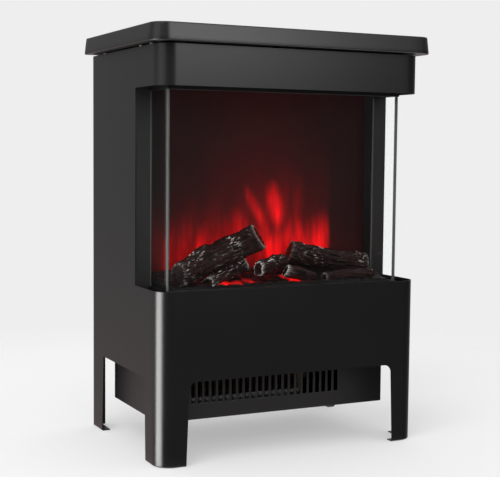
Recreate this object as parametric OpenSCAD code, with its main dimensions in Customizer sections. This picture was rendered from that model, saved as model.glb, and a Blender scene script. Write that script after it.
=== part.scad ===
// Free-standing electric stove with a three-sided glass firebox, a log set, a rotating flicker
// flame effect and a fan heater in a box slung between the legs.
// Millimetres. X to the right, Y to the rear, Z up. The origin is on the floor, under the middle.

/* [Body] */
// Width across the side sheets
body_w = 427; // [420:1:440]
// Depth from the front sheet to the rear flanges
body_d = 290; // [286:1:300]
// Height from the floor to the top of the cap
total_h = 620; // [610:1:650]
// Thickness of the folded sheet steel
sheet = 1.5; // [1.2:0.1:1.6]
// Outer radius of the two front corners
corner_r = 26; // [20:1:30]
// Height of the window's lower edge
window_bottom = 249; // [245:1:252]
// Height of the window's upper edge
window_top = 535; // [500:1:538]
// Depth of the side windows from the front sheet
window_d = 97; // [92:1:100]

/* [Legs] */
// Height of the leg openings
leg_h = 120.5; // [100:0.5:130]
// Width of each front leg across the front, at the floor
front_leg_foot = 41.5; // [36:0.5:44]
// Width of each front leg across the front, where it joins the body
front_leg_root = 45.5; // [44.5:0.5:50]
// Width of each front leg along the side, at the floor
side_leg_foot = 54; // [46:1:55]
// Width of each front leg along the side, where it joins the body
side_leg_root = 57.5; // [55.5:0.5:60]
// Width of each rear leg along the side, at the floor
leg_foot = 44; // [36:1:48]
// Width of each rear leg along the side, where it joins the body
leg_root = 51; // [49:1:56]
// Width of the flanges turned in at the foot
foot_flange = 12; // [8:1:14]

/* [Cap] */
// Height of the cap
cap_h = 25.5; // [20:0.5:30]
// Overhang of the cap at the front and the sides
cap_over = 14; // [10:1:16]
// How far the cap's skirt leans in from its lower to its upper edge
cap_draft = 2.5; // [1:0.5:4]
// Radius of the cap's front corners
cap_r = 25; // [20:1:30]

/* [Glass and firebox] */
// Thickness of the panes
glass_t = 4; // [3:1:5]
// Distance from the front sheet's face to the front pane
glass_back = 29; // [27:1:32]
// Distance from each side sheet's face to the side pane
glass_in = 23; // [22:1:26]
// Distance from the front pane's face to the flame screen
screen_back = 90; // [86:1:92]

/* [Heater] */
// Height of the heater box's underside above the floor
box_bottom = 50.5; // [45:0.5:55]
// Distance from the front sheet to the heater box
box_back = 62; // [60:1:64]
// Number of outlet slots
slot_count = 25; // [20:1:26]
// Spacing of the outlet slots
slot_pitch = 11; // [10.5:0.5:11]

/* [Controls] */
// Diameter of the two rear knobs
knob_d = 34; // [28:1:36]
// Distance of the rear controls from the middle
control_x = 120; // [100:1:130]

/* [Hidden] */
$fn = 48;
sides = [-1, 1];

// Clearances: between sheets that meet, round a screw, and round a turning shaft
gap = 0.2;
screw_gap = 0.1;
run_gap = 0.05;
eps = 1;

// Body planes
half_w = body_w / 2;
front = -body_d / 2;
rear = body_d / 2;
in_w = half_w - sheet;
in_front = front + sheet;
cap_bottom = total_h - cap_h;
cap_gap = 2;
shell_top = cap_bottom - cap_gap;
window_rear = front + window_d;
rear_flange = 20;
notch_r = 12;

// Firebox planes
floor_top = window_bottom - 11;
floor_z = floor_top - sheet;
ceiling_z = window_top + 10;
pane_front = front + glass_back;
pane_x = half_w - glass_in;
rail_wall = 1;
lower_rail_h = 9;
upper_rail_h = ceiling_z - window_top + 4;
pane_bottom = floor_top + rail_wall + gap;
pane_top = ceiling_z - rail_wall - gap;
post_x = pane_x - glass_t - 1;
screen_y = pane_front + screen_back;
screen_t = 3;
mask_y = screen_y + 36;
reflector_y = mask_y + 62;
reflector_t = 1.2;
panel_bottom = leg_h + 0.5;
panel_y = rear - 2 * sheet;

// Flicker rotor
rotor_y = mask_y + 28;
rotor_z = floor_top + 37;
rod_r = 2.5;
rod_left = -(post_x - 2);
rod_right = 163;
vane_count = 11;

// Heater
box_x = half_w - 23.5;
box_front = front + box_back;
box_rear = 108;
slot_w = 6.6;
slot_low = box_bottom + 23.5;
slot_high = slot_low + 38;
slot_right = 106.5;
fan_y = 20;
fan_z = slot_low + 31;
fan_r = 24;
fan_left = -165;
fan_right = 60;
shaft_r = 3;
duct_front = -44;

// Rear controls
control_z = 470;
plate_w = 100;
plate_h = 150;
plate_t = 2.5;
plate_y = rear - sheet + plate_t;
knob_z = control_z + 38;
knob_spread = 25;
knob_rear = -(front - cap_over);
switch_z = control_z - 38;
switch_pitch = 30;
switch_w = 14.6;
switch_h = 23.6;
pivot_y = rear - 1;
spindle_r = 3;

shell_black = [0.09, 0.085, 0.09];
matt_black = [0.06, 0.06, 0.06];
steel = [0.72, 0.73, 0.75];

// ---------- shared shapes ----------

// Outline seen from above, rounded at the front and square at the rear
module plan(w, y0, y1, r) {
    translate([-w, y0 + r]) square([2 * w, y1 - y0 - r]);
    translate([r - w, y0]) square([2 * (w - r), 2 * r]);
    for (s = sides) translate([s * (w - r), y0 + r]) circle(r);
}

// A profile drawn in Y and Z, carried from x0 to x1
module along_x(x0, x1) {
    translate([x0, 0, 0]) rotate([90, 0, 90]) linear_extrude(x1 - x0) children();
}

// A profile drawn in X and Z, carried from y0 to y1
module along_y(y0, y1) {
    translate([0, y1, 0]) rotate([90, 0, 0]) linear_extrude(y1 - y0) children();
}

// A box from its lowest to its highest corner
module block(low, high) {
    translate(low) cube(high - low);
}

// A cylinder along X
module rod_x(x0, x1, y, z, r) {
    translate([x0, y, z]) rotate([0, 90, 0]) cylinder(h = x1 - x0, r = r);
}

// A cylinder along Y
module rod_y(y0, y1, x, z, r) {
    translate([x, y1, z]) rotate([90, 0, 0]) cylinder(h = y1 - y0, r = r);
}

// A tapered round limb from point a to point b
module limb(a, b, ra, rb) {
    d = b - a;
    length = norm(d);
    translate(a) rotate([0, acos(d[2] / length), atan2(d[1], d[0])])
        cylinder(h = length, r1 = ra, r2 = rb, $fn = 32);
}

// ---------- casing ----------

module front_notch() {
    foot = half_w - front_leg_foot;
    root = half_w - front_leg_root;
    along_y(front - eps, front + corner_r) union() {
        polygon([[-foot, -eps], [foot, -eps], [root, leg_h - notch_r], [-root, leg_h - notch_r]]);
        translate([notch_r - root, 0]) square([2 * (root - notch_r), leg_h]);
        for (s = sides) translate([s * (root - notch_r), leg_h - notch_r]) circle(notch_r);
    }
}

module side_notches() {
    along_x(-half_w - eps, half_w + eps) polygon([
        [front + side_leg_foot, -eps], [rear - leg_foot, -eps],
        [rear - leg_root, leg_h], [front + side_leg_root, leg_h]
    ]);
}

module foot_flanges() {
    reach = sheet + foot_flange;
    linear_extrude(sheet) intersection() {
        difference() {
            plan(half_w, front, rear, corner_r);
            plan(half_w - reach, front + reach, rear - reach, corner_r - reach);
        }
        for (s = sides) {
            translate([s * (half_w - front_leg_foot / 2), front + side_leg_foot / 2])
                square([front_leg_foot, side_leg_foot], center = true);
            translate([s * (half_w - rear_flange / 2), rear - leg_foot / 2])
                square([rear_flange, leg_foot], center = true);
        }
    }
}

panel_screw_z = [for (i = [0:4]) panel_bottom + 20 + i * (shell_top - panel_bottom - 40) / 4];
panel_screw_x = half_w - rear_flange + 5.5;
panel_screw_r = 1.6;

module panel_screw_holes(y0, y1) {
    for (s = sides, z = panel_screw_z)
        rod_y(y0, y1, s * panel_screw_x, z, panel_screw_r + screw_gap);
}

module outer_shell() color(shell_black) {
    difference() {
        union() {
            difference() {
                linear_extrude(shell_top) difference() {
                    plan(half_w, front, rear, corner_r);
                    plan(in_w, in_front, rear + eps, corner_r - sheet);
                }
                front_notch();
                side_notches();
            }
            for (s = sides) translate([s * (half_w - rear_flange / 2), rear - sheet / 2, shell_top / 2])
                cube([rear_flange, sheet, shell_top], center = true);
            foot_flanges();
        }
        block([-half_w - eps, front - eps, window_bottom], [half_w + eps, window_rear, window_top]);
        panel_screw_holes(rear - sheet - eps, rear + eps);
    }
}

cap_screw_x = half_w - 10;
cap_screw_at = [for (s = sides, y = [front + 50, front + 91, rear - 40]) [s * cap_screw_x, y]];
cap_screw_r = 2;
cap_roll = 1.6;

module cap_outline(inset) {
    w = half_w + cap_over - inset;
    plan(w, front - cap_over + inset, rear - inset, cap_r - inset);
}

// The cap leans in by cap_draft and its upper edge is rolled over
module cap_solid(inset, z0, z1) {
    layer = 0.01;
    lean = inset + cap_draft;
    steps = [[z0, inset], [z1 - cap_roll, lean - 0.25],
        [z1 - 0.3 * cap_roll, lean + 0.4], [z1 - layer, lean + cap_roll]];
    hull() for (s = steps) translate([0, 0, s[0]]) linear_extrude(layer) cap_outline(s[1]);
}

module top_cap() color(shell_black) {
    lip = 32;
    difference() {
        cap_solid(0, cap_bottom, total_h);
        cap_solid(sheet, cap_bottom + sheet, total_h - sheet);
        translate([0, 0, cap_bottom - eps]) linear_extrude(2 * sheet + eps)
            plan(half_w + cap_over - lip, front - cap_over + lip, rear - lip, 4);
        for (p = cap_screw_at) translate([p[0], p[1], cap_bottom - eps])
            cylinder(h = 2 * sheet + eps, r = cap_screw_r + screw_gap);
    }
}

module top_plate() color(matt_black) {
    slot_half = [3, 60];
    slot_step = 30;
    difference() {
        translate([0, 0, shell_top - sheet]) linear_extrude(sheet)
            plan(in_w - gap, in_front + gap, panel_y - gap, corner_r - sheet - gap);
        for (p = cap_screw_at) translate([p[0], p[1], shell_top - 2 * sheet])
            cylinder(h = 3 * sheet, r = cap_screw_r + screw_gap);
        for (i = [-4:4]) block([i * slot_step - slot_half[0], -slot_half[1], shell_top - 2 * sheet],
            [i * slot_step + slot_half[0], slot_half[1], shell_top + eps]);
    }
}

module cap_spacers() color(steel) {
    spacer_r = 6.5;
    for (p = cap_screw_at) translate([p[0], p[1], shell_top]) difference() {
        cylinder(h = cap_gap, r = spacer_r);
        translate([0, 0, -eps]) cylinder(h = cap_gap + 2 * eps, r = cap_screw_r + screw_gap);
    }
}

module cap_screws() color(steel) {
    head_h = 2.4;
    head_r = 4;
    thread = 4;
    slot = [1, 6, 3];
    for (p = cap_screw_at) translate([p[0], p[1], shell_top - sheet]) {
        cylinder(h = sheet + cap_gap + sheet + thread, r = cap_screw_r);
        difference() {
            translate([0, 0, -head_h]) cylinder(h = head_h, r = head_r);
            for (turn = [0, 90]) rotate(turn) translate([0, 0, -head_h - 0.6]) cube(slot, center = true);
        }
    }
}

// Upright slots for air, n of them in a row
module vent_row(n, pitch, x, z0, z1, y0, y1) {
    width = 4;
    for (i = [0:n - 1]) {
        at = x + (i - (n - 1) / 2) * pitch;
        block([at - width / 2, y0, z0], [at + width / 2, y1, z1]);
    }
}

module gland_hole(y0, y1) {
    rod_y(y0, y1, gland_x, gland_z, gland_r + gap);
}

gland_x = -150;
gland_z = panel_bottom + 30;
gland_r = 8;
cord_r = 3.6;

module control_openings(y0, y1, play) {
    for (s = sides) rod_y(y0, y1, control_x + s * knob_spread, knob_z, 5 + play);
    for (i = [-1:1]) block(
        [control_x + i * switch_pitch - switch_w / 2 - play, y0, switch_z - switch_h / 2 - play],
        [control_x + i * switch_pitch + switch_w / 2 + play, y1, switch_z + switch_h / 2 + play]);
}

plate_screw_in = 6;
plate_screw_r = 1.5;

module plate_screw_holes(y0, y1) {
    for (sx = sides, sz = sides) rod_y(y0, y1, control_x + sx * (plate_w / 2 - plate_screw_in),
        control_z + sz * (plate_h / 2 - plate_screw_in), plate_screw_r + screw_gap);
}

module back_panel() color(matt_black) {
    edge = half_w - rear_flange + 11;
    vents = 17;
    vent_pitch = 12;
    difference() {
        block([-edge, panel_y, panel_bottom], [edge, rear - sheet, shell_top - sheet - gap]);
        panel_screw_holes(panel_y - eps, rear);
        vent_row(vents, vent_pitch, 0, panel_bottom + 19, panel_bottom + 84, panel_y - eps, rear);
        vent_row(vents, vent_pitch, -60, shell_top - 100, shell_top - 45, panel_y - eps, rear);
        gland_hole(panel_y - eps, rear);
        control_openings(panel_y - eps, rear, 0.5);
        plate_screw_holes(panel_y - eps, rear);
    }
}

module back_panel_screws() color(steel) {
    head_h = 2.2;
    slot = [5, 2.4, 0.9];
    for (s = sides, z = panel_screw_z) difference() {
        union() {
            rod_y(rear, rear + head_h, s * panel_screw_x, z, 3.6);
            rod_y(panel_y - 6, rear, s * panel_screw_x, z, panel_screw_r);
        }
        for (turn = [0, 90]) translate([s * panel_screw_x, rear + head_h, z]) rotate([0, turn, 0])
            cube(slot, center = true);
    }
}

// ---------- firebox ----------

// Folded post behind a side pane: a return to the side sheet and the firebox's side wall
module side_post(s) color(matt_black) {
    rear_fold = 15;
    post_rear = reflector_y + reflector_t + 1.8;
    mirror([s < 0 ? 1 : 0, 0, 0]) {
        block([post_x, window_rear, floor_top], [in_w - gap, window_rear + sheet, ceiling_z]);
        block([post_x, window_rear, floor_top], [post_x + sheet, post_rear, ceiling_z]);
        block([post_x, post_rear - sheet, floor_top], [post_x + rear_fold, post_rear, ceiling_z]);
    }
}

box_screw_at = [for (s = sides, y = [0, 95]) [s * (box_x - 12), y]];
box_screw_r = 2;

module firebox_floor() color(matt_black) {
    difference() {
        translate([0, 0, floor_z]) linear_extrude(sheet)
            plan(in_w - gap, in_front + gap, panel_y - gap, corner_r - sheet - gap);
        for (p = box_screw_at) translate([p[0], p[1], floor_z - eps])
            cylinder(h = sheet + 2 * eps, r = box_screw_r + screw_gap);
    }
}

module firebox_ceiling() color(matt_black) {
    translate([0, 0, ceiling_z]) linear_extrude(sheet)
        plan(in_w - gap, in_front + gap, panel_y - gap, corner_r - sheet - gap);
}

// Plan of the three panes' run, grown by out and in
module pane_run(out, inward) {
    difference() {
        translate([-pane_x - out, pane_front - out])
            square([2 * (pane_x + out), window_rear - gap - pane_front + out]);
        translate([-pane_x + inward, pane_front + inward])
            square([2 * (pane_x - inward), window_rear - pane_front]);
    }
}

module lower_glass_rail() color(shell_black) {
    difference() {
        translate([0, 0, floor_top]) linear_extrude(lower_rail_h)
            pane_run(gap + rail_wall, glass_t + gap + rail_wall);
        translate([0, 0, floor_top + rail_wall]) linear_extrude(lower_rail_h)
            pane_run(gap, glass_t + gap);
    }
}

module upper_glass_rail() color(shell_black) {
    low = ceiling_z - upper_rail_h;
    difference() {
        translate([0, 0, low]) linear_extrude(upper_rail_h)
            pane_run(gap + rail_wall, glass_t + gap + rail_wall);
        translate([0, 0, low - rail_wall]) linear_extrude(upper_rail_h)
            pane_run(gap, glass_t + gap);
    }
}

module front_glass() color([0.75, 0.85, 0.82, 0.3]) {
    block([-pane_x, pane_front, pane_bottom], [pane_x, pane_front + glass_t, pane_top]);
}

module side_glass(s) color([0.75, 0.85, 0.82, 0.3]) {
    mirror([s < 0 ? 1 : 0, 0, 0])
        block([pane_x - glass_t, pane_front + glass_t + gap, pane_bottom],
            [pane_x, window_rear - 2 * gap, pane_top]);
}

module flame_screen() color([0.16, 0.07, 0.07, 0.8]) {
    block([gap - post_x, screen_y, floor_top + gap], [post_x - gap, screen_y + screen_t, ceiling_z - gap]);
}

// One flame-shaped opening: two arcs of sine width, leaning as it rises
module flame_hole(x, z, w, h, lean) {
    steps = 8;
    left = [for (i = [0:steps]) let (t = i / steps)
        [x - w / 2 * sin(180 * sqrt(t)) * (1 - t * 0.3) + lean * t * t, z + h * t]];
    right = [for (i = [steps - 1:-1:1]) let (t = i / steps)
        [x + w / 2 * sin(180 * sqrt(t)) * (1 - t * 0.3) + lean * t * t, z + h * t]];
    polygon(concat(left, right));
}

module flame_mask() color([0.75, 0.75, 0.76]) {
    top = floor_top + 190;
    along_y(mask_y, mask_y + 0.8) difference() {
        translate([gap - post_x, floor_top + gap]) square([2 * (post_x - gap), top - floor_top]);
        for (i = [-4:4]) flame_hole(i * 38, floor_top + 30, 24, 80 + 46 * abs(cos(i * 47)), 8 * sin(i * 90));
        for (i = [-4:3]) flame_hole(i * 38 + 19, floor_top + 18, 10, 52 + 20 * abs(sin(i * 61)), -5);
    }
}

module reflector_panel() color([0.82, 0.82, 0.83]) {
    block([gap - post_x, reflector_y, floor_top + gap],
        [post_x - gap, reflector_y + reflector_t, ceiling_z - gap]);
}

module flicker_rod() color(steel) rod_x(rod_left, rod_right, rotor_y, rotor_z, rod_r);

// Hubs on the rod, each with two bright blades that stand askew
module flicker_vanes() color([0.85, 0.85, 0.87]) {
    pitch = 28;
    first = -vane_count / 2 * pitch + 2;
    hub = 8;
    blade = [18, 0.7, 34];
    skew = 24;
    turn = 70;
    for (i = [0:vane_count - 1]) translate([first + i * pitch, rotor_y, rotor_z]) difference() {
        union() {
            rotate([0, 90, 0]) cylinder(h = hub, r = 4.5);
            rotate([i * turn, 0, 0]) translate([hub / 2, 0, 0]) {
                rotate([0, 0, skew]) cube(blade, center = true);
                rotate([90, 0, -skew]) cube(blade, center = true);
            }
        }
        rotate([0, 90, 0]) translate([0, 0, -pitch]) cylinder(h = 2 * pitch, r = rod_r);
    }
}

module flicker_motor() color([0.78, 0.74, 0.6]) {
    difference() {
        union() {
            rod_x(rod_right - 3, rod_right + 12, rotor_y, rotor_z, 22);
            rod_x(rod_right - 8, rod_right - 3, rotor_y, rotor_z, 6);
        }
        rod_x(rod_right - 9, rod_right + 2, rotor_y, rotor_z, rod_r + run_gap);
    }
}

// Bent strap: a plate behind the motor and two legs to the side post
module flicker_motor_bracket() color(steel) {
    x0 = rod_right + 12;
    thick = 1.2;
    half = [25, 28];
    block([x0, rotor_y - half[0], rotor_z - half[1]], [x0 + thick, rotor_y + half[0], rotor_z + half[1]]);
    for (y = [rotor_y - half[0], rotor_y + half[0] - thick])
        block([x0, y, rotor_z - half[1]], [post_x, y + thick, rotor_z + half[1]]);
}

module flicker_end_bush() color([0.9, 0.9, 0.86]) {
    difference() {
        union() {
            rod_x(-post_x, 8 - post_x, rotor_y, rotor_z, 6);
            rod_x(-post_x, 2 - post_x, rotor_y, rotor_z, 10);
        }
        rod_x(-post_x - eps, 9 - post_x, rotor_y, rotor_z, rod_r + run_gap);
    }
}

// A board with a row of light-emitting diodes standing on it, facing up
module led_strip(length, y, z, n) {
    block([-length / 2, y - 5, z], [length / 2, y + 5, z + 1.6]);
    pitch = length / n;
    for (i = [0:n - 1]) translate([(i + 0.5) * pitch - length / 2, y, z + 2.3])
        cube([5, 5, 1.4], center = true);
}

module flame_led_strip() color([0.9, 0.9, 0.85]) led_strip(300, rotor_y - 8, floor_top, 12);

module ember_led_strip() color([0.9, 0.9, 0.85]) led_strip(280, pane_front + 50, floor_top, 10);

bed_front = pane_front + glass_t + 4;
bed_rear = screen_y - 3;
bed_half = post_x - 4;
bed_low = floor_top + 10;
bed_high = floor_top + 24;

// Hollow bed whose lumps lie along two rows that follow the slope
module ember_bed() color([0.35, 0.1, 0.06]) {
    wall = 3;
    difference() {
        union() {
            along_x(-bed_half, bed_half) polygon([
                [bed_front, floor_top], [bed_rear, floor_top],
                [bed_rear, bed_high], [bed_front + 30, bed_low + 5], [bed_front, bed_low - 2]
            ]);
            for (i = [-7:7]) translate([i * 23 + 5 * sin(i * 97), bed_front + 16, bed_low - 1])
                sphere(r = 6 + sin(i * 61), $fn = 16);
            for (i = [-6:6]) translate([i * 25 + 6 * sin(i * 71), bed_front + 47, bed_low + 9])
                sphere(r = 7 + sin(i * 43), $fn = 16);
        }
        along_x(wall - bed_half, bed_half - wall) polygon([
            [bed_front + wall, floor_top - eps], [bed_rear - wall, floor_top - eps],
            [bed_rear - wall, bed_high - wall], [bed_front + 30, bed_low + 1], [bed_front + wall, bed_low - 5]
        ]);
        block([-pane_x, pane_front, floor_z - 20], [pane_x, bed_rear, floor_top]);
    }
}

log_brown = [0.12, 0.07, 0.05];

module main_log() color(log_brown) limb([-165, -92, 266], [-21, -63, 318], 16.5, 19);

module right_log() color(log_brown) limb([36, -52, 290], [175, -54, 269], 16, 15.5);

module centre_log() color(log_brown) limb([-36, -92, 271], [22, -64, 277], 8.5, 12.5);

module left_branch() color(log_brown) limb([-121, -96, 252], [-46, -67, 277], 9, 10.5);

module front_chunk() color(log_brown) limb([10, -91, 266], [62, -93, 252], 9, 8.5);

module right_branch() color(log_brown) limb([76, -92, 253], [168, -86, 256], 7, 7.5);

// ---------- heater ----------

module base_box() color(shell_black) {
    lip = 20;
    difference() {
        block([-box_x, box_front, box_bottom], [box_x, box_rear, floor_z]);
        block([sheet - box_x, box_front + sheet, box_bottom + sheet],
            [box_x - sheet, box_rear - sheet, floor_z - sheet]);
        block([lip - box_x, box_front + lip, box_bottom + 2 * sheet],
            [box_x - lip, box_rear - lip, floor_z + eps]);
        for (i = [0:slot_count - 1]) {
            at = slot_right - i * slot_pitch;
            block([at - slot_w / 2, box_front - eps, slot_low],
                [at + slot_w / 2, box_front + 2 * sheet, slot_high]);
        }
        vent_row(21, 12, -20, box_bottom + 15, box_bottom + 60, box_rear - 2 * sheet, box_rear + eps);
        for (p = box_screw_at) translate([p[0], p[1], floor_z - 2 * sheet])
            cylinder(h = 3 * sheet, r = box_screw_r + screw_gap);
    }
}

module base_box_screws() color(steel) {
    for (p = box_screw_at) translate([p[0], p[1], floor_top]) {
        translate([0, 0, -10]) cylinder(h = 10, r = box_screw_r);
        cylinder(h = 2.2, r = 3.8);
    }
}

scroll_r = fan_r + 6;
scroll_wall = 1.2;

module scroll_profile(inset) {
    low = inset - scroll_r;
    circle(scroll_r - inset);
    translate([duct_front - fan_y - (inset > 0 ? eps : 0), low])
        square([fan_y - duct_front + (inset > 0 ? eps : 0), scroll_r + 9 - 2 * inset]);
}

// Tangential fan housing: a round back, a flat duct to the front and an open top at the rear
module blower_scroll() color([0.68, 0.7, 0.72]) {
    intake = 26;
    difference() {
        along_x(fan_left, fan_right) translate([fan_y, fan_z]) scroll_profile(0);
        along_x(fan_left + scroll_wall, fan_right - scroll_wall) translate([fan_y, fan_z])
            scroll_profile(scroll_wall);
        block([fan_left + 6, fan_y - 4, fan_z + 12], [fan_right - 6, fan_y + intake, fan_z + 60]);
        rod_x(fan_left - eps, fan_right + eps, fan_y, fan_z, shaft_r + 3);
    }
}

module blower_wheel() color([0.62, 0.64, 0.66]) {
    blades = 24;
    x0 = fan_left + 6;
    x1 = fan_right - 6;
    disc = 1.2;
    for (x = [x0, (x0 + x1) / 2, x1 - disc]) difference() {
        rod_x(x, x + disc, fan_y, fan_z, fan_r);
        rod_x(x - eps, x + disc + eps, fan_y, fan_z, shaft_r);
    }
    for (i = [0:blades - 1]) translate([x0, fan_y, fan_z]) rotate([i * 360 / blades, 0, 0])
        translate([0, 20.2, 0]) rotate([32, 0, 0]) translate([0, -3, -0.35]) cube([x1 - x0, 6, 0.7]);
}

blower_shaft_right = fan_right + 44;

module blower_shaft() color(steel) rod_x(fan_left - 10, blower_shaft_right, fan_y, fan_z, shaft_r);

module blower_motor() color([0.5, 0.36, 0.22]) {
    x0 = fan_right + 12;
    difference() {
        union() {
            block([x0, fan_y - 26, fan_z - 24], [x0 + 26, fan_y + 26, fan_z + 24]);
            rod_x(x0 - 7, x0 + 34, fan_y, fan_z, 14);
            block([x0 + 4, fan_y - 20, fan_z + 24], [x0 + 22, fan_y + 20, fan_z + 44]);
        }
        rod_x(x0 - 8, x0 + 35, fan_y, fan_z, shaft_r + run_gap);
    }
}

module blower_end_bush() color([0.1, 0.1, 0.1]) {
    difference() {
        rod_x(fan_left - 9, fan_left, fan_y, fan_z, 10);
        rod_x(fan_left - 12, fan_left + eps, fan_y, fan_z, shaft_r + run_gap);
    }
}

element_left = fan_left + 12;
element_right = fan_right - 10;
element_y0 = duct_front - 15;
element_y1 = duct_front - 3;

module heating_element() color([0.75, 0.75, 0.77]) {
    fins = 44;
    for (z = [slot_low + 6, slot_low + 30])
        block([element_left, element_y0 + 3, z], [element_right, element_y1 - 3, z + 4]);
    pitch = (element_right - element_left) / fins;
    for (i = [0:fins - 1]) block([element_left + (i + 0.35) * pitch, element_y0, slot_low + 2],
        [element_left + (i + 0.65) * pitch, element_y1, slot_low + 37.6]);
}

module element_frame() color([0.4, 0.26, 0.16]) {
    difference() {
        block([fan_left + 4, element_y0 - 2, slot_low - 4], [fan_right - 2, duct_front - gap, slot_high + 6]);
        block([element_left - 0.5, element_y0 - 3, slot_low + 1.5],
            [element_right + 0.5, duct_front + eps, slot_low + 38.1]);
    }
}

// Bright folded strip that leads the warm air from the element to the slots
module outlet_lip() color([0.85, 0.85, 0.86]) {
    x0 = element_left - 6;
    x1 = element_right - 4;
    y = box_front + 7;
    step = 5;
    top = slot_low + 8;
    low = slot_low - 4;
    thick = 1;
    block([x0, y, top - thick], [x1, y + step, top]);
    block([x0, y + step - thick, low], [x1, y + step, top]);
    block([x0, y + step - thick, low], [x1, element_y0 - 2, low + thick]);
}

module thermal_cutout() color([0.55, 0.5, 0.42]) {
    top = slot_high + 6;
    translate([-40, element_y0 + 6, top]) {
        cylinder(h = 5, r = 8);
        for (s = sides) translate([s * 4 - 1, -2, 4]) cube([2, 4, 8]);
    }
}

// ---------- controls ----------

board_y = reflector_y + reflector_t + 16;

// Board on four pillars with three relays and two capacitors
module control_board() color([0.1, 0.3, 0.14]) {
    low = [-60, 430];
    high = [40, 540];
    in = 6;
    face = board_y + 1.6;
    relay = [20, 15.4, 16];
    block([low[0], board_y, low[1]], [high[0], face, high[1]]);
    for (x = [low[0] + in, high[0] - in], z = [low[1] + in, high[1] - in])
        rod_y(reflector_y + reflector_t, board_y, x, z, 3);
    for (i = [0:2]) translate([low[0] + 10 + i * 28, face, high[1] - 40]) cube(relay);
    for (i = [0:1]) rod_y(face, face + 18.4, low[0] + 20 + i * 30, low[1] + 32, 8);
}

module control_plate() color(matt_black) {
    difference() {
        block([control_x - plate_w / 2, rear - sheet, control_z - plate_h / 2],
            [control_x + plate_w / 2, plate_y, control_z + plate_h / 2]);
        control_openings(rear - sheet - eps, plate_y + eps, 0.3);
        plate_screw_holes(rear - sheet - eps, plate_y + eps);
    }
}

module switch_body(i) color(matt_black) {
    x = control_x + i * switch_pitch;
    bezel = 2;
    cavity_w = 12;
    cavity_h = 21.2;
    difference() {
        union() {
            block([x - switch_w / 2, pivot_y - 22, switch_z - switch_h / 2],
                [x + switch_w / 2, plate_y, switch_z + switch_h / 2]);
            block([x - switch_w / 2 - 1.8, plate_y, switch_z - switch_h / 2 - 1.8],
                [x + switch_w / 2 + 1.8, plate_y + bezel, switch_z + switch_h / 2 + 1.8]);
        }
        block([x - cavity_w / 2, pivot_y - 11, switch_z - cavity_h / 2],
            [x + cavity_w / 2, plate_y + bezel + eps, switch_z + cavity_h / 2]);
        rod_x(x - cavity_w / 2 - 0.8, x + cavity_w / 2 + 0.8, pivot_y, switch_z, 1.2 + run_gap);
    }
    for (z = [switch_z - 7, switch_z, switch_z + 7])
        block([x - 3, pivot_y - 30, z - 0.4], [x + 3, pivot_y - 22, z + 0.4]);
}

// Rocker with a shallow V face, clipped to a circle about its pivot and shown with its lower half pressed
module rocker(i, tint) color(tint) {
    x = control_x + i * switch_pitch;
    half = 5.7;
    tilt = 8;
    translate([x, pivot_y, switch_z]) rotate([tilt, 0, 0]) {
        along_x(-half, half) intersection() {
            circle(10.2);
            polygon([[-4, -9], [-4, 9], [5, 9.4], [3.2, 0], [5, -9.4]]);
        }
        rod_x(-half - 0.9, half + 0.9, 0, 0, 1.2);
    }
}

// Body of a rotary control behind the rear panel, with its threaded bush
module rotary_body(x, w, deep) {
    difference() {
        union() {
            block([x - w / 2, panel_y - 3 - deep, knob_z - w / 2], [x + w / 2, panel_y - 3, knob_z + w / 2]);
            rod_y(panel_y - 4, plate_y + 1, x, knob_z, 4.8);
        }
        rod_y(panel_y - 3 - deep - eps, plate_y + 2, x, knob_z, spindle_r + run_gap);
    }
}

module rotary_spindle(x, deep) {
    rod_y(panel_y - 3 - deep + 2, knob_rear - 3, x, knob_z, spindle_r);
}

// Fluted knob with a skirt and a pointer groove that points up at rest
module rotary_knob(x) {
    base = plate_y + 1.6;
    skirt = 3;
    grip_r = knob_d / 2 - 3.5;
    flutes = 18;
    difference() {
        union() {
            rod_y(base, base + skirt, x, knob_z, knob_d / 2);
            rod_y(base + skirt, knob_rear, x, knob_z, grip_r);
        }
        for (i = [0:flutes - 1]) rod_y(base + skirt, knob_rear + eps,
            x + (grip_r + 0.6) * sin(i * 360 / flutes), knob_z + (grip_r + 0.6) * cos(i * 360 / flutes), 1.5);
        rod_y(base - eps, knob_rear - 3, x, knob_z, spindle_r);
        block([x - 0.6, knob_rear - 0.8, knob_z + 3], [x + 0.6, knob_rear + eps, knob_z + grip_r - 1]);
    }
}

module terminal_block() color([0.9, 0.9, 0.88]) {
    x = gland_x + 4;
    z = gland_z + 55;
    high = 16;
    deep = 14;
    ways = [-2:2];
    pitch = 9;
    screw_y = panel_y - 6;
    difference() {
        block([x - 24, panel_y - deep, z], [x + 24, panel_y, z + high]);
        for (i = ways) translate([x + i * pitch, screw_y, z - eps]) cylinder(h = high + 2 * eps, r = 2.2);
        for (i = ways) rod_y(panel_y - deep - eps, screw_y, x + i * pitch, z + high / 2, 1.8);
    }
}

module cable_gland() color(matt_black) {
    difference() {
        union() {
            rod_y(panel_y - 10, rear + 4, gland_x, gland_z, gland_r);
            rod_y(rear - sheet, rear + 2, gland_x, gland_z, 12);
            rod_y(rear + 2, rear + 8, gland_x, gland_z, 9.5);
            translate([gland_x, panel_y, gland_z]) rotate([90, 0, 0]) cylinder(h = 5, r = 12.5, $fn = 6);
        }
        rod_y(panel_y - 12, rear + 10, gland_x, gland_z, cord_r);
    }
}

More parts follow.
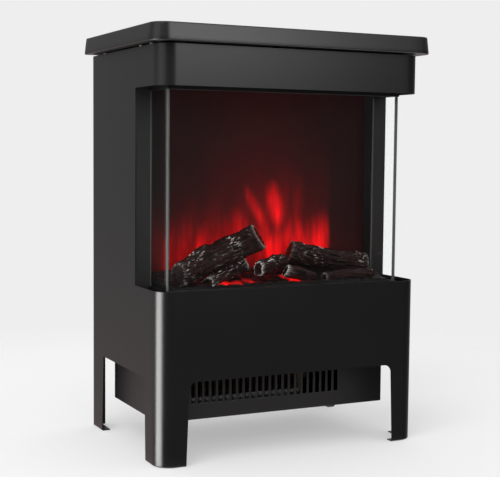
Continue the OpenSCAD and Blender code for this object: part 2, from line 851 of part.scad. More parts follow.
outer_shell();
top_cap();
top_plate();
cap_spacers();
cap_screws();
back_panel();
back_panel_screws();
side_post(-1);  // side_post_left
side_post(1);  // side_post_right
firebox_floor();
firebox_ceiling();
upper_glass_rail();
lower_glass_rail();
front_glass();
side_glass(-1);  // left_glass
side_glass(1);  // right_glass
flame_screen();
flame_mask();
reflector_panel();
flicker_rod();
flicker_vanes();
flicker_motor();
flicker_motor_bracket();
flicker_end_bush();
flame_led_strip();
ember_led_strip();
ember_bed();
main_log();
right_log();
centre_log();
left_branch();
front_chunk();
right_branch();
base_box();
base_box_screws();
blower_scroll();
blower_wheel();
blower_shaft();
blower_motor();
blower_end_bush();
heating_element();
element_frame();
outlet_lip();
thermal_cutout();
control_board();
control_plate();
switch_body(-1);  // power_switch_body
switch_body(0);  // low_heat_switch_body
switch_body(1);  // high_heat_switch_body
rocker(-1, [0.75, 0.1, 0.08]);  // power_rocker
rocker(0, matt_black);  // low_heat_rocker
rocker(1, matt_black);  // high_heat_rocker
color([0.86, 0.84, 0.78]) rotary_body(control_x + knob_spread, 32, 20);  // thermostat_body
color(steel) rotary_spindle(control_x + knob_spread, 20);  // thermostat_spindle
color(matt_black) rotary_knob(control_x + knob_spread);  // thermostat_knob
color([0.2, 0.3, 0.6]) rotary_body(control_x - knob_spread, 22, 10);  // dimmer_body
color(steel) rotary_spindle(control_x - knob_spread, 10);  // dimmer_spindle
color(matt_black) rotary_knob(control_x - knob_spread);  // dimmer_knob
terminal_block();
cable_gland();
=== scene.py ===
"""A free-standing electric stove with a three-sided glass firebox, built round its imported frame.

Each operator makes one piece or one group of like pieces. Shapes are worked out with numpy as
grids of two parameters, and finishes are shader nodes.
"""

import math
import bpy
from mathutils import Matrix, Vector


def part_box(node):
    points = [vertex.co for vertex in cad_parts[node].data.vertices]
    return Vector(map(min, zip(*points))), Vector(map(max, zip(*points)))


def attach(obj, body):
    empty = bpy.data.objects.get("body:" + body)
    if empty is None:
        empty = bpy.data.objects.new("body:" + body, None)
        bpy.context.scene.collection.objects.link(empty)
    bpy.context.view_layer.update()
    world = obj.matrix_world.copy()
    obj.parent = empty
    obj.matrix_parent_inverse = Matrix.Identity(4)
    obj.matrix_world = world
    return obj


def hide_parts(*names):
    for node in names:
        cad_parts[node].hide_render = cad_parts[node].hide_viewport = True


bl_info = {
    "name": "Electric stove",
    "version": (1, 0, 0),
    "blender": (4, 5, 0),
    "location": "View3D > Sidebar > Stove",
    "description": "Casing, glass, logs, embers and flames for an electric stove",
    "category": "Object",
}

import bpy
import numpy as np
from bpy.props import FloatProperty, FloatVectorProperty, IntProperty, PointerProperty
from mathutils import Euler, Matrix, Vector

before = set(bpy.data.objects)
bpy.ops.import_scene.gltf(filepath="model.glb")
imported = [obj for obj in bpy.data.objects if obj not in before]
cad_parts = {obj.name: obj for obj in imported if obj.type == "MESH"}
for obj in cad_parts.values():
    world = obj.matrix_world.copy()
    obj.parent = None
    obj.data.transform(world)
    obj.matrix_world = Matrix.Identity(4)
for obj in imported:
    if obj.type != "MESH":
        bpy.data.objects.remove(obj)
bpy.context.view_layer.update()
BODY = "cabinet"


def limits(node):
    """Lowest and highest corner of a CAD node as two arrays."""
    low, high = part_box(node)
    return np.array(low), np.array(high)


SHELL_LOW, SHELL_HIGH = limits("outer_shell")
CAP_LOW, CAP_HIGH = limits("top_cap")

# Filled by make_finishes: the shared node groups, and the materials by their slot names
GROUPS = {}
FINISHES = {}


# ---------- settings ----------


def in_metres(name, description, default):
    """A length that a user may change."""
    return FloatProperty(name=name, description=description, default=default, unit="LENGTH")


def as_level(name, description, default, most):
    """A brightness from nothing to a limit."""
    return FloatProperty(name=name, description=description, default=default, min=0.0, max=most)


def as_colour(name, description, default):
    """A colour that a user may change."""
    return FloatVectorProperty(name=name, description=description, default=default,
                               subtype="COLOR", min=0, max=1)


class CasingSettings(bpy.types.PropertyGroup):
    sheet: in_metres("Sheet", "Thickness of the folded sheet", 0.0015)
    corner: in_metres("Corner radius", "Radius of the two front corners", 0.026)
    bend: in_metres("Bend radius", "Radius of the small bends", 0.0022)
    window_low: in_metres("Window bottom", "Height of the window's lower edge", 0.249)
    window_high: in_metres("Window top", "Height of the window's upper edge", 0.535)
    window_rear: in_metres("Window rear", "Where the side windows end", -0.048)
    leg_height: in_metres("Leg height", "Height of the openings between the legs", 0.1205)
    leg_foot: in_metres("Rear leg at the floor", "Along the side", 0.044)
    leg_root: in_metres("Rear leg at the body", "Along the side", 0.051)
    side_leg_foot: in_metres("Front leg's side at the floor", "Along the side", 0.054)
    side_leg_root: in_metres("Front leg's side at the body", "Along the side", 0.0575)
    front_leg_foot: in_metres("Front leg at the floor", "Across the front", 0.0415)
    front_leg_root: in_metres("Front leg at the body", "Across the front", 0.0455)
    notch_round: in_metres("Notch radius", "Radius in the front opening's corners", 0.012)
    rear_flange: in_metres("Rear flange", "Width of the flanges at the rear", 0.020)
    foot_flange: in_metres("Foot flange", "Width of the flanges turned in at the feet", 0.0135)
    cap_corner: in_metres("Cap corner radius", "Radius of the cap's front corners", 0.025)
    cap_draft: in_metres("Cap draft", "How far the cap's skirt leans in", 0.0025)
    cap_lip: in_metres("Cap lip", "Width of the flange under the cap", 0.032)


class FireSettings(bpy.types.PropertyGroup):
    step: in_metres("Screen step", "Spacing of the points that carry the flames", 0.0016)
    flame_strength: as_level("Flame strength", "Brightness of the flames", 1.0, 5.0)
    flame_colour: as_colour("Flame colour", "Colour of the flames", (1.0, 0.004, 0.006))
    ember_strength: as_level("Ember strength", "Brightness of the ember bed", 0.9, 5.0)
    bark_depth: in_metres("Bark depth", "Depth of the grooves in the bark", 0.0050)
    limb_rows: IntProperty(name="Limb rows", description="Rings along each log", default=220)
    limb_columns: IntProperty(name="Limb columns", description="Points round each log", default=144)


class FinishSettings(bpy.types.PropertyGroup):
    coat: as_colour("Outer coat", "Colour of the satin outer coat", (0.0068, 0.0064, 0.0064))
    inner: as_colour("Inner coat", "Colour of the matt inner coat", (0.0075, 0.0075, 0.0075))
    glass: as_colour("Glass", "Tint of the panes", (0.975, 0.985, 0.982))
    resin: as_colour("Log resin", "Dark colour of the logs", (0.0078, 0.0024, 0.0018))
    # Colour of the pale strokes on the logs: dry-brushed paint and painted highlights.
    highlight: as_colour("Log highlight", "Dry-brushed colour on the ridges", (0.78, 0.72, 0.68))


class StageSettings(bpy.types.PropertyGroup):
    backdrop: as_level("Backdrop", "Brightness of the plain backdrop", 0.855, 2.0)
    floor_radius: in_metres("Floor radius", "Radius of the floor disc", 2.4)
    lens: FloatProperty(name="Lens", description="Focal length in millimetres", default=81.95)


# ---------- numbers to meshes ----------


def grid_faces(rows, columns, closed=False, keep=None):
    """Quads of a rows by columns grid, the last column joined to the first where it is closed.

    keep, if given, is a truth value for each quad.
    """
    i, j = np.meshgrid(np.arange(rows - 1), np.arange(columns if closed else columns - 1), indexing="ij")
    j2 = (j + 1) % columns
    quads = np.stack([i * columns + j, i * columns + j2, (i + 1) * columns + j2, (i + 1) * columns + j], -1)
    return quads[keep] if keep is not None else quads.reshape(-1, 4)


def mesh_piece(name, points, faces, smooth=True, **attributes):
    """A mesh object from an array of points and a list of face arrays, unused points left out."""
    faces = faces if isinstance(faces, list) else [faces]
    used = np.unique(np.concatenate([f.ravel() for f in faces]))
    renumber = np.zeros(len(points), int)
    renumber[used] = np.arange(len(used))
    mesh = bpy.data.meshes.new(name)
    loops = np.concatenate([renumber[f].ravel() for f in faces])
    sizes = np.concatenate([np.full(len(f), f.shape[1]) for f in faces])
    mesh.vertices.add(len(used))
    mesh.vertices.foreach_set("co", points[used].astype(np.float32).ravel())
    mesh.loops.add(len(loops))
    mesh.loops.foreach_set("vertex_index", loops.astype(np.int32))
    mesh.polygons.add(len(sizes))
    mesh.polygons.foreach_set("loop_start", (np.cumsum(sizes) - sizes).astype(np.int32))
    mesh.polygons.foreach_set("use_smooth", np.full(len(sizes), smooth))
    for key, values in attributes.items():
        values = np.asarray(values, np.float32).reshape(len(points), -1)[used]
        kind, field = ("FLOAT", "value") if values.shape[1] == 1 else ("FLOAT_VECTOR", "vector")
        mesh.attributes.new(key, kind, "POINT").data.foreach_set(field, values.ravel())
    mesh.update(calc_edges=True)
    mesh.validate()
    piece = bpy.data.objects.new(name, mesh)
    bpy.context.scene.collection.objects.link(piece)
    return piece


def place(piece, finish, node):
    """Gives the piece its finish, and lets it ride in place of the CAD node it stands for."""
    piece.data.materials.append(FINISHES[finish])
    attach(piece, BODY)
    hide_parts(node)


def thicken(piece, thickness):
    """Wall of even thickness on the inner side of a surface."""
    wall = piece.modifiers.new("Wall", "SOLIDIFY")
    wall.thickness = thickness
    wall.offset = -1
    wall.use_even_offset = True
    return wall


def soften(piece, width, angle=32.0):
    """Small rounded edges wherever two faces meet at more than the angle."""
    edge = piece.modifiers.new("Edge", "BEVEL")
    edge.width = width
    edge.segments = 2
    edge.limit_method = "ANGLE"
    edge.angle_limit = math.radians(angle)
    edge.harden_normals = True
    edge.use_clamp_overlap = True
    return edge


def smooth_step(low, high, x):
    """0 below low, 1 above high, and 3t² - 2t³ between."""
    t = np.clip((x - low) / (high - low), 0, 1)
    return t * t * (3 - 2 * t)


TABLE_SIZE = 4096
PRIMES = (73856093, 19349663, 83492791)


def value_noise(x, y, z, seed):
    """Random numbers on whole-number points, blended along each axis with a smooth step; 0 to 1."""
    table = np.random.default_rng(seed).random(TABLE_SIZE)
    base = [np.floor(c).astype(np.int64) for c in (x, y, z)]
    part = [c - b for c, b in zip((x, y, z), base)]
    part = [p * p * (3 - 2 * p) for p in part]
    total = 0
    for corner in range(8):
        bits = [corner & 1, corner >> 1 & 1, corner >> 2 & 1]
        mix = 0
        weight = 1
        for b, k, prime in zip(base, bits, PRIMES):
            mix = mix ^ ((b + k) * prime)
        for p, k in zip(part, bits):
            weight = weight * (p if k else 1 - p)
        total = total + weight * table[mix & (TABLE_SIZE - 1)]
    return total


def layered_noise(x, y, z, seed, layers=4, fall=0.5):
    """Sum of value noise at doubling frequency and falling weight; 0 to 1."""
    total, weight, scale = 0, 0, 1.0
    for k in range(layers):
        part = fall ** k
        total = total + part * value_noise(x * scale, y * scale, z * scale, seed + 17 * k)
        weight += part
        scale *= 2.03
    return total / weight


def spread(*parts):
    """Joined evenly spaced stretches (from, to, steps); each starts where the last one ended."""
    out = [np.array([parts[0][0]])]
    for start, stop, steps in parts:
        out.append(np.linspace(start, stop, steps + 1)[1:])
    return np.concatenate(out)


# ---------- shader nodes ----------


def add(tree, kind, settings=None, **inputs):
    """A shader node with its settings and its inputs, each a value or another node's output."""
    item = tree.nodes.new(kind)
    for key, value in (settings or {}).items():
        setattr(item, key, value)
    for key, value in inputs.items():
        numbered = key[0] == "i" and key[1:].isdigit()
        socket = item.inputs[int(key[1:]) if numbered else key.replace("_", " ")]
        if isinstance(value, bpy.types.NodeSocket):
            tree.links.new(value, socket)
        else:
            socket.default_value = value
    return item


def feed(tree, item, **sources):
    """Links other nodes' outputs to a node's named inputs."""
    for key, source in sources.items():
        tree.links.new(source, item.inputs[key.replace("_", " ")])


def maths(tree, operation, a, b=0.0, c=0.0):
    """Output of a Math node."""
    return add(tree, "ShaderNodeMath", {"operation": operation}, i0=a, i1=b, i2=c).outputs[0]


def stretch(tree, vector, factors):
    """A vector multiplied part by part."""
    return add(tree, "ShaderNodeVectorMath", {"operation": "MULTIPLY"}, i0=vector, i1=factors).outputs[0]


def object_space(tree):
    """Each point's place on its own object."""
    return tree.nodes.new("ShaderNodeTexCoord").outputs["Object"]


def attribute(tree, name, output="Fac"):
    """One of the mesh's own attributes."""
    return add(tree, "ShaderNodeAttribute", {"attribute_name": name}).outputs[output]


def ramp(tree, value, low, high):
    """0 below low and 1 above high, smooth between."""
    return add(tree, "ShaderNodeMapRange", {"interpolation_type": "SMOOTHSTEP"}, Value=value,
               From_Min=low, From_Max=high).outputs["Result"]


def blend_colours(tree, factor, a, b):
    """a where the factor is 0 and b where it is 1."""
    item = tree.nodes.new("ShaderNodeMix")
    item.data_type = "RGBA"
    for socket, value in ((item.inputs[0], factor), (item.inputs[6], a), (item.inputs[7], b)):
        if isinstance(value, bpy.types.NodeSocket):
            tree.links.new(value, socket)
        else:
            socket.default_value = (*value[:3], 1.0)
    return item.outputs[2]


def toned(tree, mask, colour, variation):
    """A colour that a mask takes from a little darker to a little lighter."""
    low = tuple(c * (1 - variation) for c in colour[:3])
    high = tuple(min(1.0, c * (1 + variation)) for c in colour[:3])
    return blend_colours(tree, mask, low, high)


def noise(tree, where, scale, detail=4.0, roughness=0.55):
    """Fractal noise at a scale in waves per metre."""
    return add(tree, "ShaderNodeTexNoise", Vector=where, Scale=scale, Detail=detail,
               Roughness=roughness).outputs["Fac"]


def new_group(name, inputs, outputs):
    """An empty node group with number sockets, and its input and output nodes."""
    group = bpy.data.node_groups.new(name, "ShaderNodeTree")
    kind = "NodeSocketFloat"
    for socket, value in inputs.items():
        group.interface.new_socket(socket, in_out="INPUT", socket_type=kind).default_value = value
    for socket in outputs:
        group.interface.new_socket(socket, in_out="OUTPUT", socket_type=kind)
    return group, group.nodes.new("NodeGroupInput"), group.nodes.new("NodeGroupOutput")


def coat_grain():
    """Powder coat: fine orange peel over slow waves. Puts out a height and a tone from 0 to 1."""
    group, given, out = new_group("Coat grain", {"Scale": 900.0}, ("Height", "Tone"))
    where, scale = object_space(group), given.outputs["Scale"]
    fine = noise(group, where, scale, 3.0)
    slow = noise(group, where, 7.0, 2.0)
    speck = add(group, "ShaderNodeTexVoronoi", Vector=where, Scale=scale).outputs["Distance"]
    tone = maths(group, "MULTIPLY_ADD", fine, 0.35, maths(group, "MULTIPLY", slow, 0.65))
    feed(group, out, Height=maths(group, "MULTIPLY_ADD", speck, 0.5, fine), Tone=tone)
    return group


def settled_dust():
    """Dust and faint smears: a mask that is strongest on faces that look up."""
    group, given, out = new_group("Settled dust", {"Amount": 0.3}, ("Mask",))
    where = object_space(group)
    normal = group.nodes.new("ShaderNodeNewGeometry").outputs["Normal"]
    up = ramp(group, add(group, "ShaderNodeSeparateXYZ", Vector=normal).outputs["Z"], 0.2, 1.0)
    patch = ramp(group, noise(group, where, 34.0, 6.0, 0.7), 0.35, 0.8)
    speck = ramp(group, noise(group, where, 700.0, 2.0), 0.55, 0.8)
    both = maths(group, "MULTIPLY", maths(group, "MULTIPLY_ADD", speck, 0.6, patch), up)
    feed(group, out, Mask=maths(group, "MULTIPLY", both, given.outputs["Amount"]))
    return group


def drawn_grain():
    """Rolled or brushed metal: noise stretched along X. Puts out a height and a tone."""
    group, given, out = new_group("Drawn grain", {"Scale": 60.0, "Stretch": 30.0}, ("Height", "Tone"))
    where, across = object_space(group), given.outputs["Stretch"]
    size = add(group, "ShaderNodeCombineXYZ", X=1.0, Y=across, Z=across).outputs[0]
    lines = noise(group, stretch(group, where, size), given.outputs["Scale"], 5.0, 0.6)
    cloud = noise(group, where, 24.0, 3.0)
    tone = maths(group, "MULTIPLY_ADD", lines, 0.5, maths(group, "MULTIPLY", cloud, 0.5))
    feed(group, out, Height=lines, Tone=tone)
    return group


def group_node(tree, key, **inputs):
    """One of the shared groups, placed in a material."""
    item = tree.nodes.new("ShaderNodeGroup")
    item.node_tree = GROUPS[key]
    for name, value in inputs.items():
        item.inputs[name].default_value = value
    return item


def start_material(name, roughness, **constants):
    """A material with one Principled shader, its constants set on the shader's own sockets."""
    material = bpy.data.materials.new(name)
    material.use_nodes = True
    tree = material.node_tree
    shader = tree.nodes["Principled BSDF"]
    shader.inputs["Roughness"].default_value = roughness
    for key, value in constants.items():
        socket = shader.inputs[key.replace("_", " ")]
        socket.default_value = (*value, 1.0) if isinstance(value, tuple) else value
    return material, tree, shader


def mix_surface(tree, factor, a, b):
    """Puts out shader a where the factor is 0 and shader b where it is 1."""
    both = add(tree, "ShaderNodeMixShader", i0=factor, i1=a, i2=b)
    feed(tree, tree.nodes["Material Output"], Surface=both.outputs[0])


def bump(tree, shader, height, distance):
    """Fine relief on the shader's normal."""
    item = add(tree, "ShaderNodeBump", Height=height, Distance=distance, Strength=1.0)
    feed(tree, shader, Normal=item.outputs["Normal"])


def coated_metal(name, colour, roughness, dust=0.25):
    """Powder coat with orange peel, slow changes of gloss and a little dust."""
    material, tree, shader = start_material(name, roughness, IOR=1.5)
    peel = group_node(tree, "coat_grain", Scale=900.0)
    veil = group_node(tree, "settled_dust", Amount=dust).outputs["Mask"]
    tone = toned(tree, peel.outputs["Tone"], colour, 0.12)
    gloss = maths(tree, "MULTIPLY_ADD", peel.outputs["Tone"], 0.12, roughness - 0.06)
    feed(tree, shader, Base_Color=blend_colours(tree, veil, tone, (0.07, 0.066, 0.06)),
         Roughness=maths(tree, "MULTIPLY_ADD", veil, 0.5, gloss))
    bump(tree, shader, peel.outputs["Height"], 0.00002)
    return material


def bare_metal(name, colour, roughness, scale=60.0, across=30.0):
    """Plated or rolled sheet with drawn lines."""
    material, tree, shader = start_material(name, roughness, Metallic=1.0)
    lines = group_node(tree, "drawn_grain", Scale=scale, Stretch=across)
    feed(tree, shader, Base_Color=toned(tree, lines.outputs["Tone"], colour, 0.14),
         Roughness=maths(tree, "MULTIPLY_ADD", lines.outputs["Tone"], 0.25, roughness - 0.12))
    bump(tree, shader, lines.outputs["Height"], 0.00003)
    return material


def moulded(name, colour, roughness, grain=1600.0, variation=0.12):
    """Moulded plastic, rubber or board with a fine texture."""
    material, tree, shader = start_material(name, roughness)
    peel = group_node(tree, "coat_grain", Scale=grain)
    feed(tree, shader, Base_Color=toned(tree, peel.outputs["Tone"], colour, variation),
         Roughness=maths(tree, "MULTIPLY_ADD", peel.outputs["Tone"], 0.16, roughness - 0.08))
    bump(tree, shader, peel.outputs["Height"], 0.00002)
    return material


def pane_glass(tint):
    """Clear glass that lets the light of lamps through unbent."""
    material, tree, shader = start_material("Pane glass", 0.0, Transmission_Weight=1.0, IOR=1.5)
    film = ramp(tree, noise(tree, object_space(tree), 9.0, 5.0, 0.6), 0.45, 0.9)
    feed(tree, shader, Base_Color=toned(tree, film, tint, -0.01),
         Roughness=maths(tree, "MULTIPLY", film, 0.02))
    path = tree.nodes.new("ShaderNodeLightPath")
    clear = add(tree, "ShaderNodeBsdfTransparent", Color=(*tint, 1.0)).outputs[0]
    soft = maths(tree, "MAXIMUM", path.outputs["Is Shadow Ray"], path.outputs["Is Diffuse Ray"])
    mix_surface(tree, soft, shader.outputs[0], clear)
    return material


def screen_acrylic(strength, colour):
    """Smoked gloss acrylic that glows where the blaze attribute is high."""
    material, tree, shader = start_material("Flame screen acrylic", 0.2, Specular_IOR_Level=0.25,
                                            Emission_Strength=strength)
    haze = noise(tree, object_space(tree), 26.0)
    feed(tree, shader,
         Base_Color=blend_colours(tree, haze, (0.0055, 0.0032, 0.0034), (0.010, 0.0062, 0.0066)),
         Roughness=maths(tree, "MULTIPLY_ADD", haze, 0.1, 0.18),
         Emission_Color=blend_colours(tree, attribute(tree, "blaze"), (0.0, 0.0, 0.0), colour))
    return material


def ember_resin(strength, colour):
    """Tinted resin lit from below: bright in the hollows, charred on the lumps."""
    material, tree, shader = start_material("Ember resin", 0.3, Specular_IOR_Level=0.2,
                                            Emission_Strength=strength)
    fine = noise(tree, object_space(tree), 420.0, 4.0, 0.65)
    hot = ramp(tree, maths(tree, "MULTIPLY_ADD", fine, 0.35, attribute(tree, "coal_glow")), 0.35, 0.95)
    feed(tree, shader,
         Base_Color=blend_colours(tree, hot, (0.0045, 0.0030, 0.0028), (0.16, 0.008, 0.007)),
         Roughness=maths(tree, "MULTIPLY_ADD", fine, 0.35, 0.15),
         Emission_Color=blend_colours(tree, hot, (0.0, 0.0, 0.0), colour))
    bump(tree, shader, fine, 0.0006)
    return material


def charred_resin(base, brushed):
    """Glossy painted resin: dark grooves, brown faces and pale ridges, whose strokes are dry-brushed paint
    and painted highlights in one.

    The bark attribute is a place along and around the limb, so that noise can be drawn out along it.
    """
    material, tree, shader = start_material("Charred log resin", 0.35, Specular_IOR_Level=0.25)
    ridge, paint, rim = (attribute(tree, name) for name in ("ridge", "paint", "rim"))
    bark = attribute(tree, "bark", "Vector")
    drawn = stretch(tree, bark, (0.14, 1, 1))
    streak = noise(tree, drawn, 760.0, 3.0)
    fibre = noise(tree, drawn, 380.0, 5.0, 0.65)
    patch = noise(tree, bark, 60.0, 3.0)
    tone = maths(tree, "MULTIPLY_ADD", fibre, 0.9, maths(tree, "MULTIPLY", ridge, 0.5))
    groove, face = tuple(c * 0.15 for c in base), tuple(c * 2.6 for c in base)
    body = blend_colours(tree, ramp(tree, tone, 0.50, 0.85), groove, face)
    body = blend_colours(tree, ramp(tree, patch, 0.52, 0.75), body, face)
    # Dabs on the ridges: dry-brushed paint, and painted highlights where the upper side carries more of it.
    dabs_and_glints = maths(tree, "MULTIPLY", ramp(tree, streak, 0.60, 0.655), paint)
    # Bright ring at the cut's rim: brushed paint and a painted highlight along the edge.
    edge = maths(tree, "MULTIPLY", ramp(tree, streak, 0.40, 0.50), rim)
    stroke_and_glint = maths(tree, "MAXIMUM", dabs_and_glints, edge)
    # The brushed colour goes where the strokes are, which are dry-brushed paint and painted highlight
    # together.
    feed(tree, shader, Base_Color=blend_colours(tree, stroke_and_glint, body, brushed),
         Roughness=maths(tree, "MULTIPLY_ADD", fibre, 0.4, 0.02))
    bump(tree, shader, fibre, 0.0010)
    return material


def make_finishes():
    """Builds the shared groups, then every finish by its slot name."""
    tones = bpy.context.scene.stove_finish
    fire = bpy.context.scene.stove_fire
    GROUPS.update(coat_grain=coat_grain(), settled_dust=settled_dust(), drawn_grain=drawn_grain())
    FINISHES.update({
        "black_coat": coated_metal("Satin black coat", tones.coat, 0.31),
        "matt_coat": coated_metal("Matt inner coat", tones.inner, 0.5),
        # Darker copy of the matt coat for the side posts: painted shade, as the posts stand in shadow.
        "painted_shade_post_coat": coated_metal("Shadowed post coat", (0.0036, 0.0036, 0.0036), 0.55, dust=0.0),
        "box_coat": coated_metal("Heater box coat", (0.0185, 0.0165, 0.0168), 0.42),
        "zinc_steel": bare_metal("Bright zinc", (0.52, 0.53, 0.55), 0.34),
        "clear_glass": pane_glass(tones.glass),
        "ground_edge": moulded("Ground glass edge", (0.105, 0.114, 0.110), 0.34, 700.0),
        "screen_acrylic": screen_acrylic(fire.flame_strength, fire.flame_colour),
        "heated_fins": bare_metal("Heat-stained fins", (0.085, 0.062, 0.048), 0.5),
        "mirror_sheet": bare_metal("Rolled aluminium", (0.78, 0.78, 0.79), 0.2, 40.0, 18.0),
        "ember_resin": ember_resin(fire.ember_strength, fire.flame_colour),
        "log_resin": charred_resin(tones.resin, tones.highlight),
        "black_plastic": moulded("Black moulding", (0.012, 0.012, 0.012), 0.42),
        "red_plastic": moulded("Red rocker", (0.38, 0.012, 0.010), 0.22, 400.0, 0.06),
        "lacquered_coil": moulded("Lacquered laminations", (0.16, 0.075, 0.035), 0.4, 300.0, 0.3),
        "cream_plastic": moulded("Cream moulding", (0.56, 0.51, 0.40), 0.4),
        "mica_board": moulded("Mica board", (0.075, 0.042, 0.022), 0.55, 500.0, 0.35),
        "circuit_board": moulded("Circuit board", (0.012, 0.09, 0.03), 0.28, 400.0, 0.06),
        "white_board": moulded("White board", (0.66, 0.66, 0.62), 0.3, 400.0, 0.06),
        "dark_rubber": moulded("Dark rubber", (0.015, 0.015, 0.015), 0.7),
    })


# ---------- casing ----------


def half_outline(height, s):
    """Points (x, y) of the casing's left half at each height, from the rear flange to the middle.

    Straight stretches and arcs follow each other: rear flange, rear bend, rear leg, side, front leg,
    front corner, front leg, front. The leg edges slide with height, as each leg tapers.
    Returns an array of heights by columns by 2, and each stretch's first column.
    """
    half, front, rear = SHELL_HIGH[0], SHELL_LOW[1], SHELL_HIGH[1]
    top = s.leg_height - s.notch_round
    taper = np.clip(height / s.leg_height, 0, 1)
    rear_leg = s.leg_foot + (s.leg_root - s.leg_foot) * taper
    side_leg = s.side_leg_foot + (s.side_leg_root - s.side_leg_foot) * taper
    front_leg = s.front_leg_foot + (s.front_leg_root - s.front_leg_foot) * np.clip(height / top, 0, 1)
    rise = np.clip((height - top) / s.notch_round, 0, 1)
    front_leg = front_leg + s.notch_round * (1 - np.sqrt(1 - rise ** 2))
    ones = np.ones_like(height)

    def straight(a, b, steps):
        t = np.linspace(0, 1, steps + 1)[:-1]
        return np.stack([a[k][:, None] * (1 - t) + b[k][:, None] * t for k in (0, 1)], -1)

    def arc(x, y, radius, start, stop, steps):
        t = np.radians(np.linspace(start, stop, steps + 1)[:-1])
        line = np.stack([x + radius * np.cos(t), y + radius * np.sin(t)], -1)
        return np.broadcast_to(line, (len(height), *line.shape))

    def at(x, y):
        return x * ones, y * ones

    r, c = s.bend, s.corner
    stretches = [
        ("rear_flange", straight(at(s.rear_flange - half, rear), at(r - half, rear), 4)),
        ("rear_bend", arc(r - half, rear - r, r, 90, 180, 5)),
        ("rear_leg", straight(at(-half, rear - r), at(-half, rear - rear_leg), 5)),
        ("side_rear", straight(at(-half, rear - rear_leg), at(-half, s.window_rear), 10)),
        ("side_front", straight(at(-half, s.window_rear), at(-half, front + side_leg), 4)),
        ("front_leg_side", straight(at(-half, front + side_leg), at(-half, front + c), 3)),
        ("corner", arc(c - half, front + c, c, 180, 270, 16)),
        ("front_leg", straight(at(c - half, front), at(front_leg - half, front), 4)),
        ("front", straight(at(front_leg - half, front), at(0, front), 8)),
    ]
    firsts, count = {}, 0
    for name, part in stretches:
        firsts[name] = count
        count += part.shape[1]
    firsts["middle"] = count
    middle = np.stack(at(0, front), -1)[:, None, :]
    return np.concatenate([part for _, part in stretches] + [middle], 1), firsts


def casing_surface(s):
    """The folded sheet as a grid of heights by columns, with quads left out for its openings.

    The lowest rows turn inwards along the outline's inward normal to make the foot flanges.
    """
    rows = spread((s.bend, s.leg_height - s.notch_round, 8))
    fillet = s.leg_height - s.notch_round * (1 - np.sin(np.radians(np.linspace(0, 90, 9)[1:])))
    upper = spread((s.leg_height, s.window_low, 8), (s.window_low, s.window_high, 16),
                   (s.window_high, SHELL_HIGH[2], 4))[1:]
    turn = np.radians(np.linspace(0, 90, 6))[:-1]
    flange_rows = 3
    height = np.concatenate([np.zeros(flange_rows), s.bend * (1 - np.cos(turn)), rows, fillet, upper])
    inset = np.zeros_like(height)
    inset[:flange_rows] = np.linspace(s.foot_flange, s.bend, flange_rows + 1)[:-1]
    inset[flange_rows:flange_rows + len(turn)] = s.bend * (1 - np.sin(turn))
    left, first = half_outline(height, s)
    inward = np.zeros_like(left)
    side = slice(first["rear_leg"], first["corner"])
    corner = slice(first["corner"], first["front_leg"])
    inward[:, side, 0] = 1
    centre = np.array([s.corner + SHELL_LOW[0], SHELL_LOW[1] + s.corner])
    inward[:, corner] = (centre - left[:, corner]) / s.corner
    inward[:, first["front_leg"]:, 1] = 1
    left = left + inward * inset[:, None, None]
    right = left[:, -2::-1] * (-1, 1)
    plan = np.concatenate([left, right], 1)
    points = np.concatenate([plan, np.broadcast_to(height[:, None, None], (*plan.shape[:2], 1))], -1)

    columns = plan.shape[1]
    middle = first["middle"]
    centre_of = (height[1:] + height[:-1])[:, None] / 2
    column = np.arange(columns - 1)
    mirrored = np.minimum(column, columns - 2 - column)[None, :]
    side_gap = (mirrored >= first["side_rear"]) & (mirrored < first["front_leg_side"])
    front_gap = (mirrored >= first["front"]) & (mirrored < middle)
    window = (mirrored >= first["side_front"]) & (centre_of > s.window_low) & (centre_of < s.window_high)
    foot = np.arange(len(height) - 1)[:, None] < flange_rows
    cut = (centre_of < s.leg_height) & (side_gap | front_gap) | window
    cut |= foot & (mirrored < first["rear_leg"])
    return points.reshape(-1, 3), grid_faces(len(height), columns, keep=~cut)


def cap_ring(inset, s):
    """Closed outline of the cap at an inset: front edge, right side, rear edge, left side.

    The corners are quarter circles whose radius shrinks with the inset.
    """
    front_steps, side_steps, rear_corner_steps, front_corner_steps = 28, 24, 2, 10
    rear_radius = 0.002
    half, front, rear = CAP_HIGH[0] - inset, CAP_LOW[1] + inset, SHELL_HIGH[1] - inset
    radius = max(s.cap_corner - inset, 0.002)
    small = max(rear_radius - inset, 0.0004)
    t = np.linspace(0, 1, front_steps + 1)[:-1]
    edge = np.stack([(radius - half) * (1 - t) + (half - radius) * t, np.full_like(t, front)], -1)
    a = np.radians(np.linspace(-90, 0, front_corner_steps + 1))[:-1]
    corner = np.stack([half - radius + radius * np.cos(a), front + radius + radius * np.sin(a)], -1)
    t = np.linspace(0, 1, side_steps + 1)[:-1]
    side = np.stack([np.full_like(t, half), (front + radius) * (1 - t) + (rear - small) * t], -1)
    a = np.radians(np.linspace(0, 90, rear_corner_steps + 1))
    back = np.stack([half - small + small * np.cos(a), rear - small + small * np.sin(a)], -1)
    right = np.concatenate([corner, side, back])
    t = np.linspace(0, 1, front_steps + 1)[1:-1]
    behind = np.stack([(half - small) * (1 - 2 * t), np.full_like(t, rear)], -1)
    left = right[::-1] * (-1, 1)
    return np.concatenate([edge, right, behind, left[:-1]]), len(edge), len(right)


